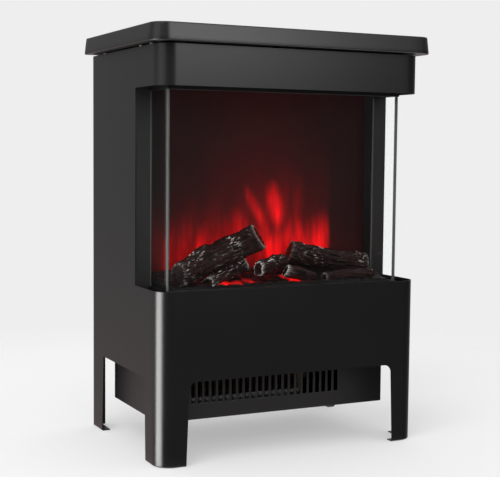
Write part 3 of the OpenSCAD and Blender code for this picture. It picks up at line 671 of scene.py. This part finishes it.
def cap_surface(s):
    """Rings from the lip's inner edge, round the bends and up the leaning skirt, then a lid.

    The lid joins each point of the left side to its twin on the right with straight rows.
    """
    low, high = CAP_LOW[2], CAP_HIGH[2]
    roll, fold = 0.0018, 0.0016
    turn = np.radians(np.linspace(0, 90, 6))
    lip = [(d, low) for d in np.linspace(s.cap_lip, fold, 6)[:-1]]
    under = [(fold * (1 - math.sin(a)), low + fold * (1 - math.cos(a))) for a in turn]
    upper = [(s.cap_draft + roll * (1 - math.cos(a)), high - roll * (1 - math.sin(a))) for a in turn]
    skirt = [(s.cap_draft * t, low + fold + (high - roll - low - fold) * t) for t in (0.25, 0.5, 0.75)]
    profile = lip + under + skirt + upper
    rings = []
    for inset, z in profile:
        ring, across, along = cap_ring(inset, s)
        rings.append(np.column_stack([ring, np.full(len(ring), z)]))
    size = len(rings[0])
    points = np.concatenate(rings)
    skirt_faces = grid_faces(len(rings), size, closed=True)

    base = (len(rings) - 1) * size
    right = np.arange(across, across + along)
    left = (size + across - np.arange(across, across + along)) % size
    twins = points[base + left], points[base + right]
    t = np.linspace(0, 1, across + 1)[None, 1:-1, None]
    inner = twins[0][1:-1, None] * (1 - t) + twins[1][1:-1, None] * t
    start = len(points)
    points = np.concatenate([points, inner.reshape(-1, 3)])
    index = np.empty((along, across + 1), int)
    index[:, 0], index[:, -1] = base + left, base + right
    index[1:-1, 1:-1] = start + np.arange(inner.shape[0] * inner.shape[1]).reshape(inner.shape[:2])
    index[0, 1:-1] = base + np.arange(1, across)
    index[-1, 1:-1] = base + across + along + np.arange(across - 1)[::-1]
    lid = np.stack([index[:-1, :-1], index[:-1, 1:], index[1:, 1:], index[1:, :-1]], -1).reshape(-1, 4)
    return points, [skirt_faces, lid]


class STOVE_OT_casing(bpy.types.Operator):
    """Make the folded outer sheet and the cap"""
    bl_idname = "stove.casing"
    bl_label = "Casing"

    def execute(self, context):
        s = context.scene.stove_casing
        shell = mesh_piece("casing_sheet", *casing_surface(s))
        thicken(shell, s.sheet)
        soften(shell, 0.00035)
        place(shell, "black_coat", "outer_shell")
        cap = mesh_piece("cap_sheet", *cap_surface(s))
        thicken(cap, s.sheet)
        soften(cap, 0.0003, 40.0)
        place(cap, "black_coat", "top_cap")
        return {"FINISHED"}


# ---------- glass ----------


def slab(low, high):
    """Closed box with a ground arris along its edges: a chamfered outline at four heights.

    The end rows are drawn in by the arris, and the ends are closed with the outline's own polygon.
    """
    a = 0.0006
    rows = []
    for inset, z in ((a, low[2]), (0, low[2] + a), (0, high[2] - a), (a, high[2])):
        x0, x1, y0, y1 = low[0] + inset, high[0] - inset, low[1] + inset, high[1] - inset
        ring = [(x0 + a, y0), (x1 - a, y0), (x1, y0 + a), (x1, y1 - a),
                (x1 - a, y1), (x0 + a, y1), (x0, y1 - a), (x0, y0 + a)]
        rows.append([(x, y, z) for x, y in ring])
    points = np.array(rows).reshape(-1, 3)
    ends = np.array([np.arange(8)[::-1], 24 + np.arange(8)])
    return points, [grid_faces(4, 8, closed=True), ends]


def grind_edges(pane, material):
    """Gives every face but the two largest the ground edge's finish."""
    pane.data.materials.append(material)
    faces = pane.data.polygons
    area = np.empty(len(faces))
    faces.foreach_get("area", area)
    faces.foreach_set("material_index", (area < area.max() * 0.5).astype(np.int32))


class STOVE_OT_glass(bpy.types.Operator):
    """Make the three panes with ground edges"""
    bl_idname = "stove.glass"
    bl_label = "Glass panes"

    def execute(self, context):
        for node in ("front_glass", "left_glass", "right_glass"):
            pane = mesh_piece(node.replace("glass", "pane"), *slab(*limits(node)), smooth=False)
            place(pane, "clear_glass", node)
            grind_edges(pane, FINISHES["ground_edge"])
        return {"FINISHED"}


# ---------- fire ----------

# Each tongue: foot x, foot z, tip x, tip z, half width at its widest, brightness, softness
TONGUES = (
    (0.029, 0.330, 0.020, 0.405, 0.0130, 0.80, 1.0),
    (-0.001, 0.334, -0.025, 0.396, 0.0090, 0.46, 1.0),
    (0.016, 0.282, 0.004, 0.356, 0.0075, 0.34, 1.1),
    (0.020, 0.268, 0.026, 0.330, 0.0150, 0.55, 1.2),
    (-0.030, 0.286, -0.042, 0.366, 0.0150, 0.40, 1.1),
    (-0.052, 0.280, -0.062, 0.356, 0.0070, 0.20, 1.1),
    (-0.072, 0.270, -0.078, 0.372, 0.0140, 0.12, 1.4),
    (-0.108, 0.266, -0.094, 0.342, 0.0095, 0.40, 1.0),
    (-0.128, 0.262, -0.130, 0.354, 0.0170, 0.14, 1.4),
    (-0.150, 0.250, -0.152, 0.340, 0.0120, 0.12, 1.2),
    (0.040, 0.286, 0.056, 0.349, 0.0070, 0.24, 1.1),
    (0.082, 0.286, 0.060, 0.352, 0.0080, 0.30, 1.0),
    (0.062, 0.270, 0.062, 0.344, 0.0180, 0.26, 1.4),
    (0.096, 0.262, 0.094, 0.350, 0.0140, 0.36, 1.2),
    (0.109, 0.258, 0.110, 0.356, 0.0140, 0.74, 1.0),
    (0.062, 0.325, 0.066, 0.425, 0.0100, 0.07, 1.8),
    (0.040, 0.325, 0.044, 0.445, 0.0120, 0.05, 1.8),
    (0.004, 0.300, 0.002, 0.410, 0.0300, 0.09, 1.8),
)


def bell(x, z, centre, size):
    """e to the power of minus the squared distance from the centre, in sizes across and up."""
    return np.exp(-((x - centre[0]) / size[0]) ** 2 - ((z - centre[1]) / size[1]) ** 2)


def flame_glow(x, z):
    """Brightness of the flames: tongues whose width swells and tapers, over a wide soft glow.

    A tongue's centre line runs from foot to tip; its profile is a bell across and fades along.
    Streaks of noise stretched upwards break the edges. Right of the last tongue the glow falls to
    a seventh, and a faint stray light covers the panel but for its left end.
    """
    streak = smooth_step(0.30, 0.70, layered_noise(x * 170, z * 24, 0 * x, 5, 3))
    wisp = layered_noise(x * 60, z * 12, 0 * x, 11, 3)
    sway = 0.004 * (layered_noise(x * 14, z * 26, 0 * x, 23, 2) - 0.5)
    total = np.zeros_like(x)
    for foot_x, foot_z, tip_x, tip_z, width, bright, softness in TONGUES:
        t = (z - foot_z) / (tip_z - foot_z)
        inside = np.clip(t, 0, 1)
        middle = foot_x + (tip_x - foot_x) * inside + sway
        swell = width * (0.42 + 1.1 * np.sqrt(inside) * (1 - inside) ** 0.7)
        across = np.exp(-np.abs((x - middle) / swell) ** (2.6 / softness))
        along = smooth_step(-0.18, 0.30, t) * smooth_step(1.06, 0.28, t)
        total = total + bright * across * along
    base = 0.30 * bell(x, z, (0.045, 0.288), (0.075, 0.036))
    left = 0.13 * bell(x, z, (-0.105, 0.295), (0.055, 0.040))
    haze = 0.030 * bell(x, z, (0.02, 0.36), (0.12, 0.07))
    tails = 0.020 * smooth_step(0.24, 0.29, z) * smooth_step(0.40, 0.29, z)
    glow = (total + base + left) * (0.68 + 0.60 * streak) + (haze + tails) * (0.2 + 1.6 * wisp)
    edge = smooth_step(0.126, 0.119, x) * 0.85 + 0.15
    stray = 0.0065 + 0.014 * bell(x, z, (0, 0.42), (0.085, 0.12))
    return np.clip(np.where(x > 0.1, glow * edge, glow), 0, 1) + stray * smooth_step(-0.178, -0.145, x)


def axis_of(node):
    """Ends and radii of a CAD limb, read from its points.

    Starting from the longest direction, the middles of the two outermost rings give a truer axis.
    """
    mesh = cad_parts[node].data
    points = np.empty(len(mesh.vertices) * 3)
    mesh.vertices.foreach_get("co", points)
    points = np.unique(points.reshape(-1, 3).round(6), axis=0)
    main = np.linalg.svd(points - points.mean(0), full_matrices=False)[2][0]
    main = main * np.sign(main[0])
    for _ in range(6):
        along = points @ main
        rings = points[along < along.min() + 0.0008], points[along > along.max() - 0.0008]
        ends = [(ring.min(0) + ring.max(0)) / 2 for ring in rings]
        main = (ends[1] - ends[0]) / np.linalg.norm(ends[1] - ends[0])
    radii = [np.linalg.norm(ring - end, axis=1).max() for ring, end in zip(rings, ends)]
    return ends, radii


# Each limb: seed, bend of its middle, then for its two ends the cut's tilts (near, up) and the strength of
# the pale ring on the cut's rim (brushed paint and painted highlight), and the knots (turn, place, size,
# height)
LIMBS = {
    "main_log": (3, (0.0, 0.0, 0.001), ((0.1, 0.3, 0.15), (0.75, 0.35, 0.45)),
                 ((1.7, 0.33, 0.018, 0.007), (4.4, 0.62, 0.02, 0.004))),
    "right_log": (8, (0.0, 0.0, -0.003), ((-0.2, 0.2, 0.2), (0.2, 0.2, 0.3)),
                  ((1.6, 0.04, 0.02, 0.005), (0.9, 0.30, 0.024, 0.004))),
    "centre_log": (14, (0.0, 0.0, 0.002), ((-0.1, 0.1, 1.0), (0.2, 0.2, 0.0)),
                   ((1.2, 0.6, 0.012, 0.003),)),
    "left_branch": (21, (0.0, -0.001, 0.002), ((0.2, 0.3, 0.7), (0.4, 0.1, 0.8)),
                    ((1.4, 0.7, 0.012, 0.003),)),
    "front_chunk": (27, (0.0, 0.0, 0.001), ((-0.2, 0.2, 1.0), (0.2, 0.3, 0.0)),
                    ((1.5, 0.4, 0.012, 0.003),)),
    "right_branch": (33, (0.0, 0.0, 0.002), ((0.2, 0.2, 0.3), (0.3, 0.3, 0.0)),
                     ((1.3, 0.55, 0.010, 0.002),)),
}


def bark_noise(along, cx, cy, reach, seed):
    """Ridges, strands, plies, lumps and brushed patches: noise stretched along the limb.

    The ridges are plates of noise folded about their middle value, with sharp grooves between.
    """
    def drawn(length_scale, girth_scale, offset, number, layers, fall=0.5):
        return layered_noise(along * length_scale, cx * reach * girth_scale + offset,
                             cy * reach * girth_scale, seed + number, layers, fall)

    ridges = 1 - np.abs(2 * drawn(38, 260, 50, 0, 4, 0.6) - 1) * 1.9
    strands = drawn(30, 620, 0, 9, 2)
    plies = drawn(16, 90, 7, 3, 2)
    lumps = layered_noise(along * 34 + 9, cx * 1.3, cy * 1.3, seed + 5, 3)
    patches = drawn(30, 45, 0, 21, 2)
    return ridges, strands, plies, lumps, patches


def close_tube(points):
    """A tube's points with a middle point for each end, its quads and the triangles of its ends."""
    rows, columns = points.shape[:2]
    middles = np.stack([points[0].mean(0), points[-1].mean(0)])
    ring = np.arange(columns)
    following = (ring + 1) % columns
    last = (rows - 1) * columns
    middle = np.full(columns, rows * columns)
    fans = np.concatenate([np.stack([middle, following, ring], -1),
                           np.stack([middle + 1, last + ring, last + following], -1)])
    faces = [grid_faces(rows, columns, closed=True)[:, ::-1], fans]
    return np.concatenate([points.reshape(-1, 3), middles]), faces


def limb_surface(node, fire):
    """A bark-covered limb: rings round a bent axis, and cut ends closed by shrinking rings.

    Radius = tapered radius x (1 + lumps) + bark + knots, each knot a bell with a hollow middle.
    A cut leans by the cosine and sine of the turn, and its rings show as a fine wave.
    """
    seed, bend, (start_cut, end_cut), knots = LIMBS[node]
    (a, b), (ra, rb) = axis_of(node)
    length = np.linalg.norm(b - a)
    main = (b - a) / length
    side = np.cross(main, (0, 0, 1.0))
    side /= np.linalg.norm(side)
    up = np.cross(side, main)
    scale = min(1.0, max(ra, rb) / 0.016)
    cap_rows = 14
    n_rows = int(fire.limb_rows * min(1, 0.35 + length / 0.2))
    closing = np.linspace(0.02, 0.98, cap_rows)
    v = np.concatenate([np.zeros(cap_rows), np.linspace(0, 1, n_rows), np.ones(cap_rows)])[:, None]
    fill = np.concatenate([closing, np.ones(n_rows), closing[::-1]])[:, None]
    u = np.linspace(0, 2 * np.pi, fire.limb_columns, endpoint=False)[None, :]
    cx, cy = np.cos(u + 0.5 * v), np.sin(u + 0.5 * v)
    reach = ra + (rb - ra) * v
    along = v * length
    ridges, strands, plies, lumps, patches = bark_noise(along, cx, cy, reach, seed)
    relief = 0.9 * (ridges - 0.5) + 0.8 * (strands - 0.5) + 1.1 * (plies - 0.5)
    radius = reach * (0.99 + 0.14 * (lumps - 0.5)) + fire.bark_depth * scale * relief
    for turn, place_at, size, height in knots:
        away = np.hypot((along - place_at * length) / size,
                        np.angle(np.exp(1j * (u - turn))) * reach / size)
        radius = radius + height * (np.exp(-away ** 2 * 2.4) - 0.75 * np.exp(-away ** 2 * 12))
    near = np.minimum(along, length - along)
    radius = radius * (1 - 0.05 * np.clip(1 - near / (0.35 * reach), 0, 1) ** 2)
    rings = 0.0004 * np.sin(fill * reach * 2 * np.pi / 0.0022) * (fill < 0.97)
    worn = 0.0012 * scale * (layered_noise(fill * cx * 9, fill * cy * 9, v * 3, seed + 13, 3) - 0.5)
    push = (rings + worn) * (fill < 1) * np.sign(v - 0.5)
    start_lean, end_lean = (cut[0] * np.cos(u) + cut[1] * np.sin(u) for cut in (start_cut, end_cut))
    lean = (start_lean * (1 - v) ** 4 - end_lean * v ** 4) * radius * fill
    bow = np.sin(np.pi * v)[..., None] * np.array(bend)
    radial = np.cos(u)[..., None] * side + np.sin(u)[..., None] * up
    points = a + (along + push + lean)[..., None] * main + bow + (radius * fill)[..., None] * radial

    ridge = np.clip(0.5 + (ridges - 0.5) * 0.5 + (strands - 0.5) * 0.4, 0, 1) + 0 * radius
    # Painted highlight: the pale strokes are laid thicker on each limb's upper side, where the light falls,
    # over real dry-brushed patches.
    lit = smooth_step(-0.2, 0.8, np.sin(u) + 0 * v)
    paint = (0.25 + 0.75 * lit) * smooth_step(0.42, 0.60, patches) * (fill == 1)
    # Pale ring at each cut's edge: brushed paint and a painted highlight along the edge.
    rim = np.exp(-((fill - 0.97) / 0.05) ** 2) * (fill < 1) + np.exp(-near / 0.0022) * (fill == 1)
    rim = rim * (start_cut[2] * (v < 0.5) + end_cut[2] * (v >= 0.5)) + 0 * cx
    fields = {name: np.append(values.ravel(), [0.3, 0.3])
              for name, values in (("ridge", ridge), ("paint", paint), ("rim", rim))}
    bark = np.stack([along + seed + 0 * cx, cx * reach * fill, cy * reach * fill], -1).reshape(-1, 3)
    fields["bark"] = np.concatenate([bark, [[seed, 0, 0], [seed + length, 0, 0]]])
    return *close_tube(points), fields


def coal_lumps(x, y, pitch):
    """Domes round a jittered grid of coal centres: the root of 1 minus the distance squared."""
    gx, gy = x / pitch, y / pitch
    nearest = np.full_like(x, 9.0)
    for di in (-1, 0, 1):
        for dj in (-1, 0, 1):
            cell_x, cell_y = np.floor(gx) + di, np.floor(gy) + dj
            jitter_x = value_noise(cell_x * 7.13, cell_y * 3.7, 0 * x, 41)
            jitter_y = value_noise(cell_x * 5.31, cell_y * 9.2, 0 * x, 42)
            nearest = np.minimum(nearest, np.hypot(cell_x + jitter_x - gx, cell_y + jitter_y - gy))
    return np.sqrt(np.clip(1 - nearest ** 2, 0, 1))


def ember_surface():
    """The ember bed as a height over a grid: a slope, coal-sized lumps and a flat border.

    It glows most in the hollows between the coals, and not at the front or at the right.
    """
    low, high = limits("ember_bed")
    nx, ny = 300, 76
    x, y = np.meshgrid(np.linspace(low[0], high[0], nx), np.linspace(low[1], high[1], ny), indexing="ij")
    across = (y - low[1]) / (high[1] - low[1])
    slope = low[2] + 0.005 + 0.017 * smooth_step(0.0, 1.0, across)
    coal = coal_lumps(x, y, 0.0135)
    rough = layered_noise(x * 260, y * 260, 0 * x, 47, 3)
    border = smooth_step(0, 0.07, across) * smooth_step(1, 0.93, across)
    height = slope + 0.0085 * coal * border + 0.0020 * (rough - 0.5)
    edge = np.minimum(np.minimum(x - low[0], high[0] - x), np.minimum(y - low[1], high[1] - y))
    height = np.where(edge < 1e-6, low[2] + 0.0004, height)
    patches = layered_noise(x * 42, y * 42, 0 * x, 51, 2)
    heat = np.clip(0.36 - 0.45 * coal + 2.0 * (patches - 0.50), 0, 1)
    heat = heat * smooth_step(0.0, 0.12, across) * smooth_step(0.16, 0.03, x)
    points = np.stack([x, y, height], -1).reshape(-1, 3)
    return points, grid_faces(nx, ny)[:, ::-1], heat


class STOVE_OT_logs(bpy.types.Operator):
    """Make the bark-covered logs and branches"""
    bl_idname = "stove.logs"
    bl_label = "Logs"

    def execute(self, context):
        for node in LIMBS:
            points, faces, fields = limb_surface(node, context.scene.stove_fire)
            log = mesh_piece(node + "_bark", points, faces, **fields)
            place(log, "log_resin", node)
        return {"FINISHED"}


class STOVE_OT_embers(bpy.types.Operator):
    """Make the glowing ember bed"""
    bl_idname = "stove.embers"
    bl_label = "Ember bed"

    def execute(self, context):
        points, faces, heat = ember_surface()
        bed = mesh_piece("ember_coals", points, faces, coal_glow=heat)
        thicken(bed, 0.002).use_even_offset = False
        place(bed, "ember_resin", "ember_bed")
        return {"FINISHED"}


class STOVE_OT_flames(bpy.types.Operator):
    """Make the screen that shows the flames"""
    bl_idname = "stove.flames"
    bl_label = "Flame screen"

    def execute(self, context):
        low, high = limits("flame_screen")
        step = context.scene.stove_fire.step
        nx = int((high[0] - low[0]) / step)
        nz = int((high[2] - low[2]) / step)
        across, upwards = np.linspace(low[0], high[0], nx), np.linspace(low[2], high[2], nz)
        x, z = np.meshgrid(across, upwards, indexing="ij")
        points = np.stack([x, np.full_like(x, low[1]), z], -1).reshape(-1, 3)
        screen = mesh_piece("flame_panel", points, grid_faces(nx, nz)[:, ::-1], blaze=flame_glow(x, z))
        thicken(screen, high[1] - low[1])
        place(screen, "screen_acrylic", "flame_screen")
        return {"FINISHED"}


# ---------- carried-over CAD nodes ----------

NODE_FINISH = {
    "black_coat": ("upper_glass_rail", "lower_glass_rail"),
    "box_coat": ("base_box",),
    "matt_coat": ("top_plate", "back_panel", "firebox_floor", "firebox_ceiling", "control_plate"),
    # The side posts take the darker coat as painted shade.
    "painted_shade_post_coat": ("side_post_left", "side_post_right"),
    "zinc_steel": ("cap_spacers", "cap_screws", "back_panel_screws", "flicker_rod",
                   "flicker_motor_bracket", "base_box_screws", "blower_scroll", "blower_wheel",
                   "blower_shaft", "thermal_cutout", "thermostat_spindle", "dimmer_spindle"),
    "mirror_sheet": ("flame_mask", "reflector_panel", "flicker_vanes", "outlet_lip"),
    "heated_fins": ("heating_element",),
    "cream_plastic": ("flicker_motor", "thermostat_body", "terminal_block", "flicker_end_bush"),
    "lacquered_coil": ("blower_motor",),
    "mica_board": ("element_frame",),
    "circuit_board": ("control_board",),
    "white_board": ("flame_led_strip", "ember_led_strip"),
    "black_plastic": ("power_switch_body", "low_heat_switch_body", "high_heat_switch_body",
                      "low_heat_rocker", "high_heat_rocker", "thermostat_knob", "dimmer_knob",
                      "dimmer_body"),
    "red_plastic": ("power_rocker",),
    "dark_rubber": ("cable_gland", "blower_end_bush"),
}

# Width of the rounded edge on the nodes whose edges show
NODE_EDGE = {
    0.0008: ("base_box",),
    0.0005: ("control_plate", "side_post_left", "side_post_right"),
    0.0004: ("thermostat_knob", "dimmer_knob", "power_switch_body", "low_heat_switch_body",
             "high_heat_switch_body"),
    0.0003: ("back_panel", "power_rocker", "low_heat_rocker", "high_heat_rocker",
             "upper_glass_rail", "lower_glass_rail", "cable_gland"),
    0.0002: ("back_panel_screws", "outlet_lip"),
}


def weld(piece):
    """Joins the loose triangles of a carried-over node."""
    item = piece.modifiers.new("Weld", "WELD")
    item.merge_threshold = 0.00001


class STOVE_OT_fittings(bpy.types.Operator):
    """Give the carried-over parts their finishes and rounded edges"""
    bl_idname = "stove.fittings"
    bl_label = "Fittings"

    def execute(self, context):
        for finish, names in NODE_FINISH.items():
            for name in names:
                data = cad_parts[name].data
                data.materials.clear()
                data.materials.append(FINISHES[finish])
        for width, names in NODE_EDGE.items():
            for name in names:
                weld(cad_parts[name])
                soften(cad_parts[name], width, 30.0)
        return {"FINISHED"}


# ---------- stage ----------


EYE = (-0.78894, -1.59988, 0.44825)
EYE_TURNS = (-26.126, 4.479, 0.540)


def make_camera(lens):
    """The camera that shows the stove from the front left.

    Its turns in degrees are azimuth from +Y towards -X, pitch down, and roll clockwise.
    """
    data = bpy.data.cameras.new("Camera")
    data.lens = lens
    data.sensor_width = 36
    data.sensor_fit = "HORIZONTAL"
    data.clip_start = 0.01
    camera = bpy.data.objects.new("Camera", data)
    bpy.context.scene.collection.objects.link(camera)
    azimuth, pitch, roll = (math.radians(turn) for turn in EYE_TURNS)
    tilt = Matrix.Rotation(azimuth, 4, "Z") @ Euler((math.pi / 2 - pitch, 0, 0)).to_matrix().to_4x4()
    camera.matrix_world = Matrix.Translation(Vector(EYE)) @ tilt @ Matrix.Rotation(roll, 4, "Z")
    bpy.context.scene.camera = camera


def key_lamp(place_at, target, size, power):
    """A soft square lamp that looks at a point and shows in no reflection."""
    data = bpy.data.lights.new("key_lamp", "AREA")
    data.shape = "SQUARE"
    data.size = size
    data.energy = power
    lamp = bpy.data.objects.new("key_lamp", data)
    bpy.context.scene.collection.objects.link(lamp)
    lamp.location = place_at
    look = Vector(target) - Vector(place_at)
    lamp.rotation_euler = look.to_track_quat("-Z", "Y").to_euler()
    lamp.visible_camera = False
    lamp.visible_glossy = False


def reflection_card(name, azimuth, distance, height, width, strength):
    """An upright glowing card that only reflections show.

    Its azimuth in degrees runs from -Y towards +X, and height is its lowest and highest edge.
    """
    azimuth = math.radians(azimuth)
    centre = np.array([math.sin(azimuth), -math.cos(azimuth)]) * distance
    side = np.array([math.cos(azimuth), math.sin(azimuth)]) * width / 2
    corners = [(*(centre - side), height[0]), (*(centre + side), height[0]),
               (*(centre + side), height[1]), (*(centre - side), height[1])]
    card = mesh_piece(name, np.array(corners), np.array([[0, 1, 2, 3]]), smooth=False)
    material = bpy.data.materials.new(name)
    material.use_nodes = True
    tree = material.node_tree
    tree.nodes.clear()
    glow = add(tree, "ShaderNodeEmission", Color=(1, 1, 1, 1), Strength=strength)
    feed(tree, tree.nodes.new("ShaderNodeOutputMaterial"), Surface=glow.outputs[0])
    card.data.materials.append(material)
    for ray in ("camera", "diffuse", "shadow", "transmission", "volume_scatter"):
        setattr(card, "visible_" + ray, False)


def make_floor(radius, backdrop):
    """A pale disc that fades into the backdrop towards its rim."""
    turn = np.linspace(0, 2 * np.pi, 97)[:-1]
    rings = np.concatenate([[0.0], np.linspace(0.05, 1, 24)])
    x = rings[:, None] * np.cos(turn) * radius
    y = rings[:, None] * np.sin(turn) * radius
    points = np.stack([x, y, np.full_like(x, -0.0002)], -1).reshape(-1, 3)
    floor = mesh_piece("floor", points, grid_faces(len(rings), len(turn), closed=True))
    lift = 0.42
    material, tree, shader = start_material(
        "Pale floor", 0.8, Base_Color=(0.93 * (1 - lift),) * 3, Emission_Color=(1.0, 1.0, 1.0),
        Emission_Strength=backdrop * lift, Specular_IOR_Level=0.0)
    away = add(tree, "ShaderNodeVectorMath", {"operation": "LENGTH"}, i0=object_space(tree))
    fade = ramp(tree, away.outputs["Value"], 0.55, 1.35)
    mix_surface(tree, fade, shader.outputs[0], add(tree, "ShaderNodeBsdfTransparent").outputs[0])
    floor.data.materials.append(material)
    floor.visible_glossy = False


def make_world(backdrop):
    """Plain backdrop for the eye, even light for matt surfaces and a dim studio for reflections."""
    world = bpy.data.worlds.new("Studio")
    bpy.context.scene.world = world
    world.use_nodes = True
    tree = world.node_tree
    tree.nodes.clear()
    path = tree.nodes.new("ShaderNodeLightPath")
    way = tree.nodes.new("ShaderNodeTexCoord").outputs["Generated"]
    part = add(tree, "ShaderNodeSeparateXYZ", Vector=way)
    behind = ramp(tree, part.outputs["Y"], -0.15, 0.5)
    above = ramp(tree, part.outputs["Z"], 0.05, 0.6)
    below = ramp(tree, part.outputs["Z"], -0.40, -0.75)
    room = blend_colours(tree, behind, (0.035, 0.034, 0.034), (0.235, 0.23, 0.23))
    room = blend_colours(tree, above, room, (0.6, 0.6, 0.6))
    low = ramp(tree, part.outputs["Z"], -0.08, -0.32)
    warm = maths(tree, "MULTIPLY", low, behind)
    room = blend_colours(tree, warm, room, (0.46, 0.36, 0.36))
    room = blend_colours(tree, below, room, (1.6, 1.5, 1.5))
    mirrored = maths(tree, "MINIMUM", path.outputs["Glossy Depth"], 1.0)
    scattered = maths(tree, "MINIMUM", path.outputs["Diffuse Depth"], 1.0)
    light = blend_colours(tree, scattered, room, (0.92, 0.92, 0.92))
    eye = maths(tree, "SUBTRACT", 1.0, maths(tree, "MAXIMUM", mirrored, scattered))
    through = maths(tree, "MINIMUM", path.outputs["Transmission Depth"], 1.0)
    plain = blend_colours(tree, through, (backdrop,) * 3, (backdrop * 1.33,) * 3)
    colour = blend_colours(tree, eye, light, plain)
    background = add(tree, "ShaderNodeBackground", Color=colour, Strength=1.0)
    feed(tree, tree.nodes.new("ShaderNodeOutputWorld"), Surface=background.outputs[0])


class STOVE_OT_stage(bpy.types.Operator):
    """Set the camera, the floor, the backdrop and the lights"""
    bl_idname = "stove.stage"
    bl_label = "Stage"

    def execute(self, context):
        s = context.scene.stove_stage
        make_camera(s.lens)
        make_floor(s.floor_radius, s.backdrop)
        make_world(s.backdrop)
        reflection_card("left_card", -87, 1.05, (-0.45, 0.30), 0.64, 13.5)
        reflection_card("left_upper_card", -76, 1.6, (0.62, 1.3), 1.2, 1.1)
        reflection_card("front_card", 15, 2.2, (0.74, 1.7), 1.05, 4.2)
        reflection_card("high_card", -50, 1.9, (1.75, 2.9), 1.3, 4.6)
        key_lamp((-1.3, -1.1, 2.1), (0, 0, 0.2), 1.4, 22.0)
        view = context.scene.view_settings
        view.view_transform = "Standard"
        view.look = "None"
        return {"FINISHED"}


class STOVE_PT_panel(bpy.types.Panel):
    """Sidebar panel that lists the stove's pieces and settings"""
    bl_idname = "STOVE_PT_panel"
    bl_label = "Electric stove"
    bl_space_type = "VIEW_3D"
    bl_region_type = "UI"
    bl_category = "Stove"

    def draw(self, context):
        for maker in MAKERS:
            self.layout.operator(maker.bl_idname)
        for key, group in SETTINGS.items():
            box = self.layout.box()
            for name in group.__annotations__:
                box.prop(getattr(context.scene, key), name)


SETTINGS = {
    "stove_casing": CasingSettings,
    "stove_fire": FireSettings,
    "stove_finish": FinishSettings,
    "stove_stage": StageSettings,
}
MAKERS = (STOVE_OT_stage, STOVE_OT_casing, STOVE_OT_glass, STOVE_OT_flames, STOVE_OT_embers,
          STOVE_OT_logs, STOVE_OT_fittings)
CLASSES = (*SETTINGS.values(), *MAKERS, STOVE_PT_panel)


def register():
    """Registers the classes and hangs the settings on the scene."""
    for item in CLASSES:
        bpy.utils.register_class(item)
    for key, group in SETTINGS.items():
        setattr(bpy.types.Scene, key, PointerProperty(type=group))


def unregister():
    """Takes the settings and the classes away again."""
    for key in SETTINGS:
        delattr(bpy.types.Scene, key)
    for item in reversed(CLASSES):
        bpy.utils.unregister_class(item)


def main():
    """Builds everything in order."""
    register()
    make_finishes()
    for maker in MAKERS:
        family, name = maker.bl_idname.split(".")
        getattr(getattr(bpy.ops, family), name)()
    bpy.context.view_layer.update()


if __name__ == "__main__":
    main()
